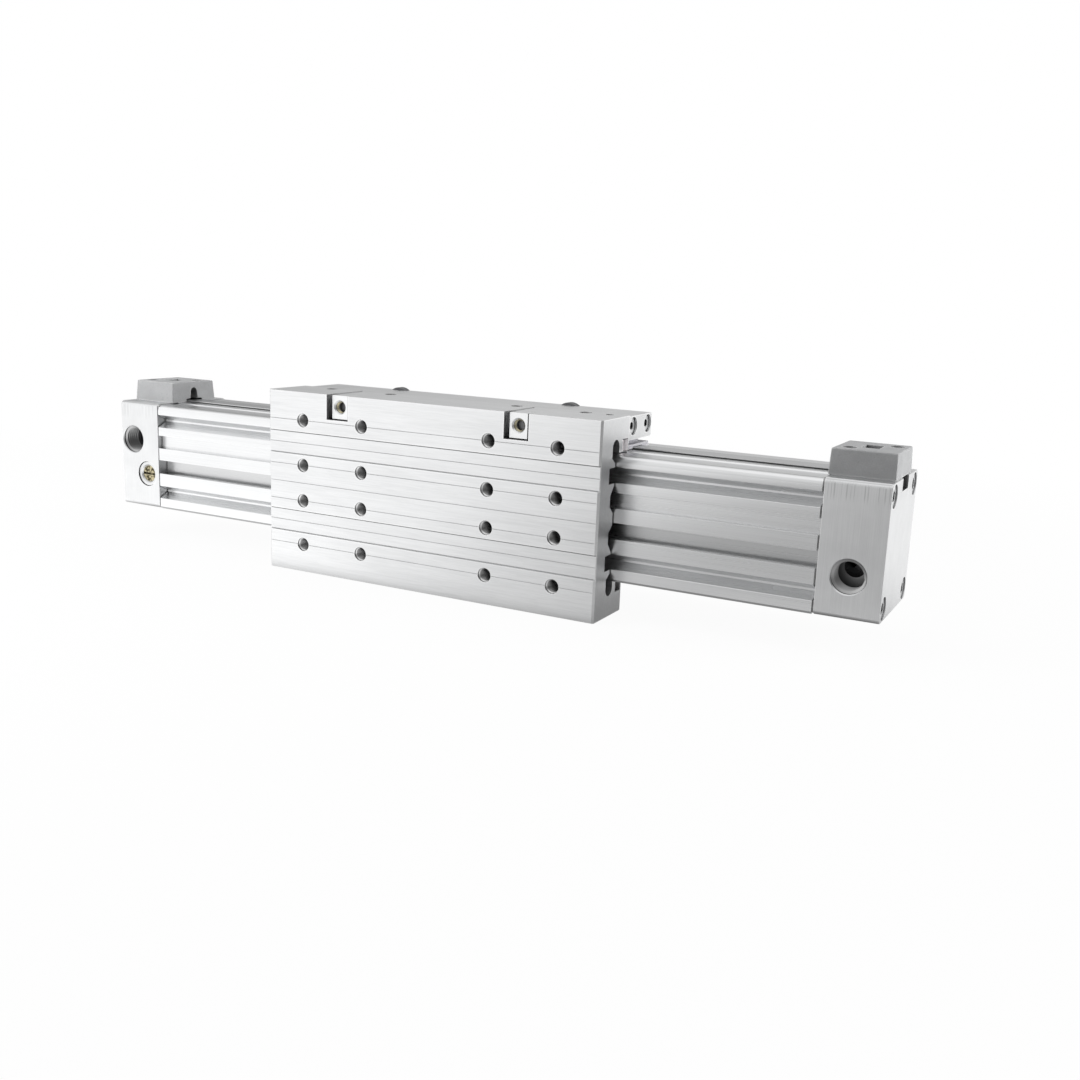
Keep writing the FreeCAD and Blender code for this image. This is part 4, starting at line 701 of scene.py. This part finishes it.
# Bands
# A stainless strip closes the slot from above; it sits on a thin black layer, a little wider, that
#  stands in for the shadow gap along its edges. A second strip seals the slot from inside the
#  bore. A small block in each cap clamps their ends.
finish = Finish(bpy.data.materials.new("stainless_strip"))
lines = finish.grain((9.0, 5200.0, 5200.0), 4.0, 0.6)
scuffs = finish.step(finish.grain((40.0, 900.0, 900.0), 2.0, 0.5), 0.62, 0.72)
edge_wear_and_highlight = finish.edge(0.3 * MM)
shade = finish.blend(lines, tone(0.50, 0.505, 0.51), tone(0.68, 0.685, 0.69))
# Painted highlight, partly edge wear: outward edges lighter.
shade = finish.blend(edge_wear_and_highlight * 0.5, shade, tone(0.86))
steel_band = finish.metal(shade, 0.22 + lines * 0.16 + scuffs * 0.10, finish.bump(lines, 0.12, 0.015 * MM))

BAND_HALF_RUN = 172.15
BAND_WIDTH = 9.8
BAND_THICK = 0.8
SHADOW_LAYER_HEIGHT = 0.36
SHADOW_LAYER_WIDTH = BAND_WIDTH + 0.16


def band_layer(name, width, low, high):
    """One flat layer of the outer band, straight along the barrel's top."""
    bpy.ops.object.select_all(action="DESELECT")
    bpy.ops.mesh.primitive_cube_add(size=1.0, location=(0.0, 0.0, 0.0))
    layer = bpy.context.object
    layer.name = name
    for corner in layer.data.vertices:
        corner.co = Vector((corner.co.x * 2.0 * BAND_HALF_RUN, corner.co.y * width,
                            BARREL_TOP + low + (corner.co.z + 0.5) * (high - low))) * MM
    break_edges(layer, 0.12, along_x, sharp=30.0)
    smooth(layer)
    return layer


band = band_layer("outer_band_strip", BAND_WIDTH, SHADOW_LAYER_HEIGHT, BAND_THICK)
dress(band, steel_band, "cylinder", "steel_band", "outer_band")
# Painted shadow: a black layer under the band's edges, standing in for the shadow gap beside the band.
shadow_layer = band_layer("outer_band_shadow_layer", SHADOW_LAYER_WIDTH, 0.0, SHADOW_LAYER_HEIGHT)
dress(shadow_layer, black_rubber, "cylinder", "seal_rubber")
coat_nodes(steel_band, "inner_band")
coat_nodes(zinc, "band_clamp_left", "band_clamp_right")


# Carriage plate
# The C-shaped aluminium guide plate that carries the load. Its face is milled along its
# length, with two recessed bands and scribed centre lines over sixteen tapped holes.
PLATE_FRONT_Y = -38.5
PLATE_BACK_Y = -12.5
PLATE_LOW_Z = -14.5
PLATE_HIGH_Z = 66.5
PLATE_WITHIN = 0.05
UPPER_LEDGE_Z = 38.8
LOWER_LEDGE_Z = 3.4
LEDGE_REACH = (0.5, 0.9)
HOLES_LENGTH = (81.2, 81.8)
HOLES_MIDDLE_Z = 21.0
HOLES_HEIGHT = (35.0, 35.5)
HOLES_MIDDLE_Y = -31.0
HOLES_DEPTH = (5.4, 7.0)

finish = Finish(bpy.data.materials.new("milled_plate"))
wander = finish.grain((28.0, 700.0, 520.0), 4.0, 0.62, 0.9)
cutter = finish.grain((120.0, 3600.0, 2600.0), 4.0, 0.6, 0.5)
hair = finish.grain((35.0, 9000.0, 7000.0), 2.0, 0.5)
clouds = finish.grain((22.0, 60.0, 60.0), 3.0, 0.6)
lines = wander * 0.42 + cutter * 0.34 + hair * 0.24
edge_wear_and_highlight = finish.edge(0.8 * MM)
shade = finish.blend(finish.step(lines * 0.8 + clouds * 0.2, 0.33, 0.66), tone(0.71, 0.715, 0.72),
                     tone(0.84, 0.845, 0.85))
# Painted highlight, partly edge wear: outward edges lighter.
shade = finish.blend(edge_wear_and_highlight * 0.75, shade, tone(0.94))
# Painted shade in narrow corners such as the scribes and the bands' edges, weaker at the bands' lower
# edges, which face the light; darker still deep in the tapped holes.
lower_ledges = finish.near(2, UPPER_LEDGE_Z, *LEDGE_REACH) + finish.near(2, LOWER_LEDGE_Z, *LEDGE_REACH)
narrow_corner_shade = finish.painted_shade_depth(1.2 * MM, 0.15, 0.50) * (0.35 - lower_ledges * 0.30)
shade = finish.blend(narrow_corner_shade, shade, tone(0.12))
shade = finish.blend(finish.painted_shade_depth(6.0 * MM, 0.45, 0.95) * 0.60, shade, tone(0.06))
shaded_holes = finish.near(0, 0.0, *HOLES_LENGTH) * finish.near(2, HOLES_MIDDLE_Z, *HOLES_HEIGHT)
shaded_holes = shaded_holes * finish.near(1, HOLES_MIDDLE_Y, *HOLES_DEPTH)
shade = finish.blend(shaded_holes * 0.62, shade, tone(0.04))
grip = 0.27 + lines * 0.24 - edge_wear_and_highlight * 0.06
milled_plate = finish.metal(shade, grip, finish.bump(lines, 0.20, 0.03 * MM))


def on_plate_outline(start, end):
    """Long outer edges of the plate's face and of its hooks."""
    at_front = abs(start.y - PLATE_FRONT_Y) < PLATE_WITHIN
    at_back = abs(start.y - PLATE_BACK_Y) < PLATE_WITHIN
    at_rim = any(abs(start.z - level) < PLATE_WITHIN for level in (PLATE_LOW_Z, PLATE_HIGH_Z))
    return along_x(start, end) and (at_back or at_front and at_rim)


plate = take_over("carriage_plate", "carriage_plate_milled")
break_edges(plate, 0.35, on_plate_outline)
smooth(plate)
dress(plate, milled_plate, "carriage", "machined_plate", "carriage_plate")

HOLE_COLUMNS = (-63.0, -31.5, 31.5, 63.0)
HOLE_ROWS = (-2.0, 18.0, 34.0, 54.0)
HOLE_START = 0.25
ridges = tapped("plate_ridges", radius=3.0, ridge=0.46, pitch=1.0, run=9.6, steps=24)
holes = [copy_to(ridges, "plate_hole", (x, PLATE_FRONT_Y + HOLE_START, z), FROM_FRONT)
         for x in HOLE_COLUMNS for z in HOLE_ROWS]
threads = join(holes, "plate_threads")
smooth(threads, angle=30.0)
dress(threads, milled_plate, "carriage", "machined_plate")
bpy.data.objects.remove(ridges)


# Guide shoes and strips
# Black low-friction shoes run in the barrel's V grooves. A pale strip above and a dark
# one below slide on its top and base; set screws press the upper one down.
finish = Finish(bpy.data.materials.new("black_bearing_plastic"))
skin = finish.grain((900.0, 1800.0, 1800.0), 3.0, 0.6)
edge_wear_and_highlight = finish.edge(0.5 * MM)
shade = finish.blend(skin, tone(0.016), tone(0.040))
# Painted highlight, partly edge wear: outward edges lighter.
shade = finish.blend(edge_wear_and_highlight * 0.4, shade, tone(0.10))
dark_plastic = finish.dielectric(shade, 0.38 + skin * 0.2, finish.bump(skin, 0.15, 0.03 * MM))

finish = Finish(bpy.data.materials.new("pale_bearing_plastic"))
skin = finish.grain((700.0, 1500.0, 1500.0), 3.0, 0.6)
edge_wear_and_highlight = finish.edge(0.5 * MM)
shade = finish.blend(skin, tone(0.46, 0.43, 0.44), tone(0.58, 0.55, 0.56))
# Painted highlight, partly edge wear: outward edges lighter.
shade = finish.blend(edge_wear_and_highlight * 0.4, shade, tone(0.74))
pale_plastic = finish.dielectric(shade, 0.42 + skin * 0.18, finish.bump(skin, 0.15, 0.03 * MM))

finish = Finish(bpy.data.materials.new("grey_wiper_plastic"))
skin = finish.grain((900.0, 900.0, 900.0), 3.0, 0.6)
edge_wear_and_highlight = finish.edge(0.5 * MM)
shade = finish.blend(skin, tone(0.28, 0.275, 0.30), tone(0.40, 0.395, 0.42))
# Painted highlight, partly edge wear: outward edges lighter.
shade = finish.blend(edge_wear_and_highlight * 0.5, shade, tone(0.62))
wiper_plastic = finish.dielectric(shade, 0.36 + skin * 0.2, finish.bump(skin, 0.15, 0.03 * MM))

coat_nodes(dark_plastic, "guide_strip_lower")
coat_nodes(pale_plastic, "guide_strip_upper")
for side_name, side in SIDES:
    coat_nodes(dark_plastic, f"guide_shoe_upper_{side_name}", f"guide_shoe_lower_{side_name}")
    coat_nodes(wiper_plastic, f"wiper_{side_name}")
    coat_nodes(pale_plastic, f"wear_ring_{side_name}")


# Yoke
# A drawn aluminium bar over the slot, with a screwed block at each end that holds a
# plastic wiper. It joins the piston bridge to the plate.
finish = Finish(bpy.data.materials.new("drawn_yoke"))
lines = finish.grain((14.0, 3400.0, 3400.0), 4.0, 0.6)
clouds = finish.grain((60.0, 90.0, 90.0), 3.0, 0.6)
edge_wear_and_highlight = finish.edge(0.7 * MM)
shade = finish.blend(finish.step(lines * 0.7 + clouds * 0.3, 0.30, 0.70), tone(0.68, 0.685, 0.69),
                     tone(0.80, 0.805, 0.81))
# Painted highlight, partly edge wear: outward edges lighter.
shade = finish.blend(edge_wear_and_highlight * 0.75, shade, tone(0.92))
# Painted shade: darker deep in the holes.
shade = finish.blend(finish.painted_shade_depth(6.0 * MM) * 0.84, shade, tone(0.06))
drawn_bar = finish.metal(shade, 0.28 + lines * 0.20 - edge_wear_and_highlight * 0.05, finish.bump(lines, 0.14, 0.02 * MM))

YOKE_HALF_WIDTH = 11.5
YOKE_TOP_Z = 66.0
YOKE_WITHIN = 0.02


def on_yoke_outline(start, end):
    """Edges of the bar's two sides and of its top."""
    on_side = all(abs(abs(corner.y) - YOKE_HALF_WIDTH) < YOKE_WITHIN for corner in (start, end))
    on_top = all(abs(corner.z - YOKE_TOP_Z) < YOKE_WITHIN for corner in (start, end))
    return (on_side or on_top) and (start - end).length > 1.0


def on_block_top(start, end):
    """Long top edges of a block at the yoke's end."""
    return along_x(start, end) and start.z > YOKE_TOP_Z - 0.1


bar = take_over("yoke", "yoke_bar")
break_edges(bar, 0.3, on_yoke_outline)
smooth(bar)
dress(bar, drawn_bar, "carriage", "yoke_aluminium", "yoke")
for side_name, side in SIDES:
    block = take_over(f"yoke_end_{side_name}", f"yoke_end_{side_name}_block")
    break_edges(block, 0.18, on_block_top)
    smooth(block)
    dress(block, drawn_bar, "carriage", "yoke_aluminium", f"yoke_end_{side_name}")


# Nut threads
# The tapped holes of the two slot nuts in the plate's pockets. The first turns of each
# thread show from the front, yellowish in the dark hole.
NUT_X = 44.2
NUT_Z = 61.1
NUT_START = 2.6

ridges = tapped("nut_ridges", radius=2.5, ridge=0.38, pitch=0.8, run=2.6, steps=24)
for side_name, side in SIDES:
    spot = (side * NUT_X, PLATE_FRONT_Y + NUT_START, NUT_Z)
    nut = copy_to(ridges, f"nut_thread_{side_name}", spot, FROM_FRONT)
    smooth(nut, angle=30.0)
    dress(nut, brass, "carriage", "needle_brass")
bpy.data.objects.remove(ridges)


# Piston bridge and pistons
# One machined aluminium piece from the bore through the slot to the yoke, with a piston
# screwed to each end. Each piston has a rubber seal, a wear ring and a ring magnet.
finish = Finish(bpy.data.materials.new("turned_bridge"))
lines = finish.grain((2600.0, 500.0, 500.0), 3.0, 0.6)
edge_wear_and_highlight = finish.edge(0.7 * MM)
shade = finish.blend(lines, tone(0.62, 0.625, 0.63), tone(0.78, 0.785, 0.79))
# Painted highlight, partly edge wear: outward edges lighter.
shade = finish.blend(edge_wear_and_highlight * 0.6, shade, tone(0.90))
turned_bridge = finish.metal(shade, 0.30 + lines * 0.18, finish.bump(lines, 0.12, 0.02 * MM))
coat_nodes(turned_bridge, "piston_bridge", "piston_left", "piston_right")

finish = Finish(bpy.data.materials.new("ferrite_ring"))
skin = finish.grain((1300.0, 1300.0, 1300.0), 3.0, 0.6)
shade = finish.blend(skin, tone(0.035, 0.034, 0.034), tone(0.075, 0.072, 0.070))
ferrite = finish.dielectric(shade, 0.52 + skin * 0.2, finish.bump(skin, 0.25, 0.04 * MM))
coat_nodes(ferrite, "magnet_left", "magnet_right")
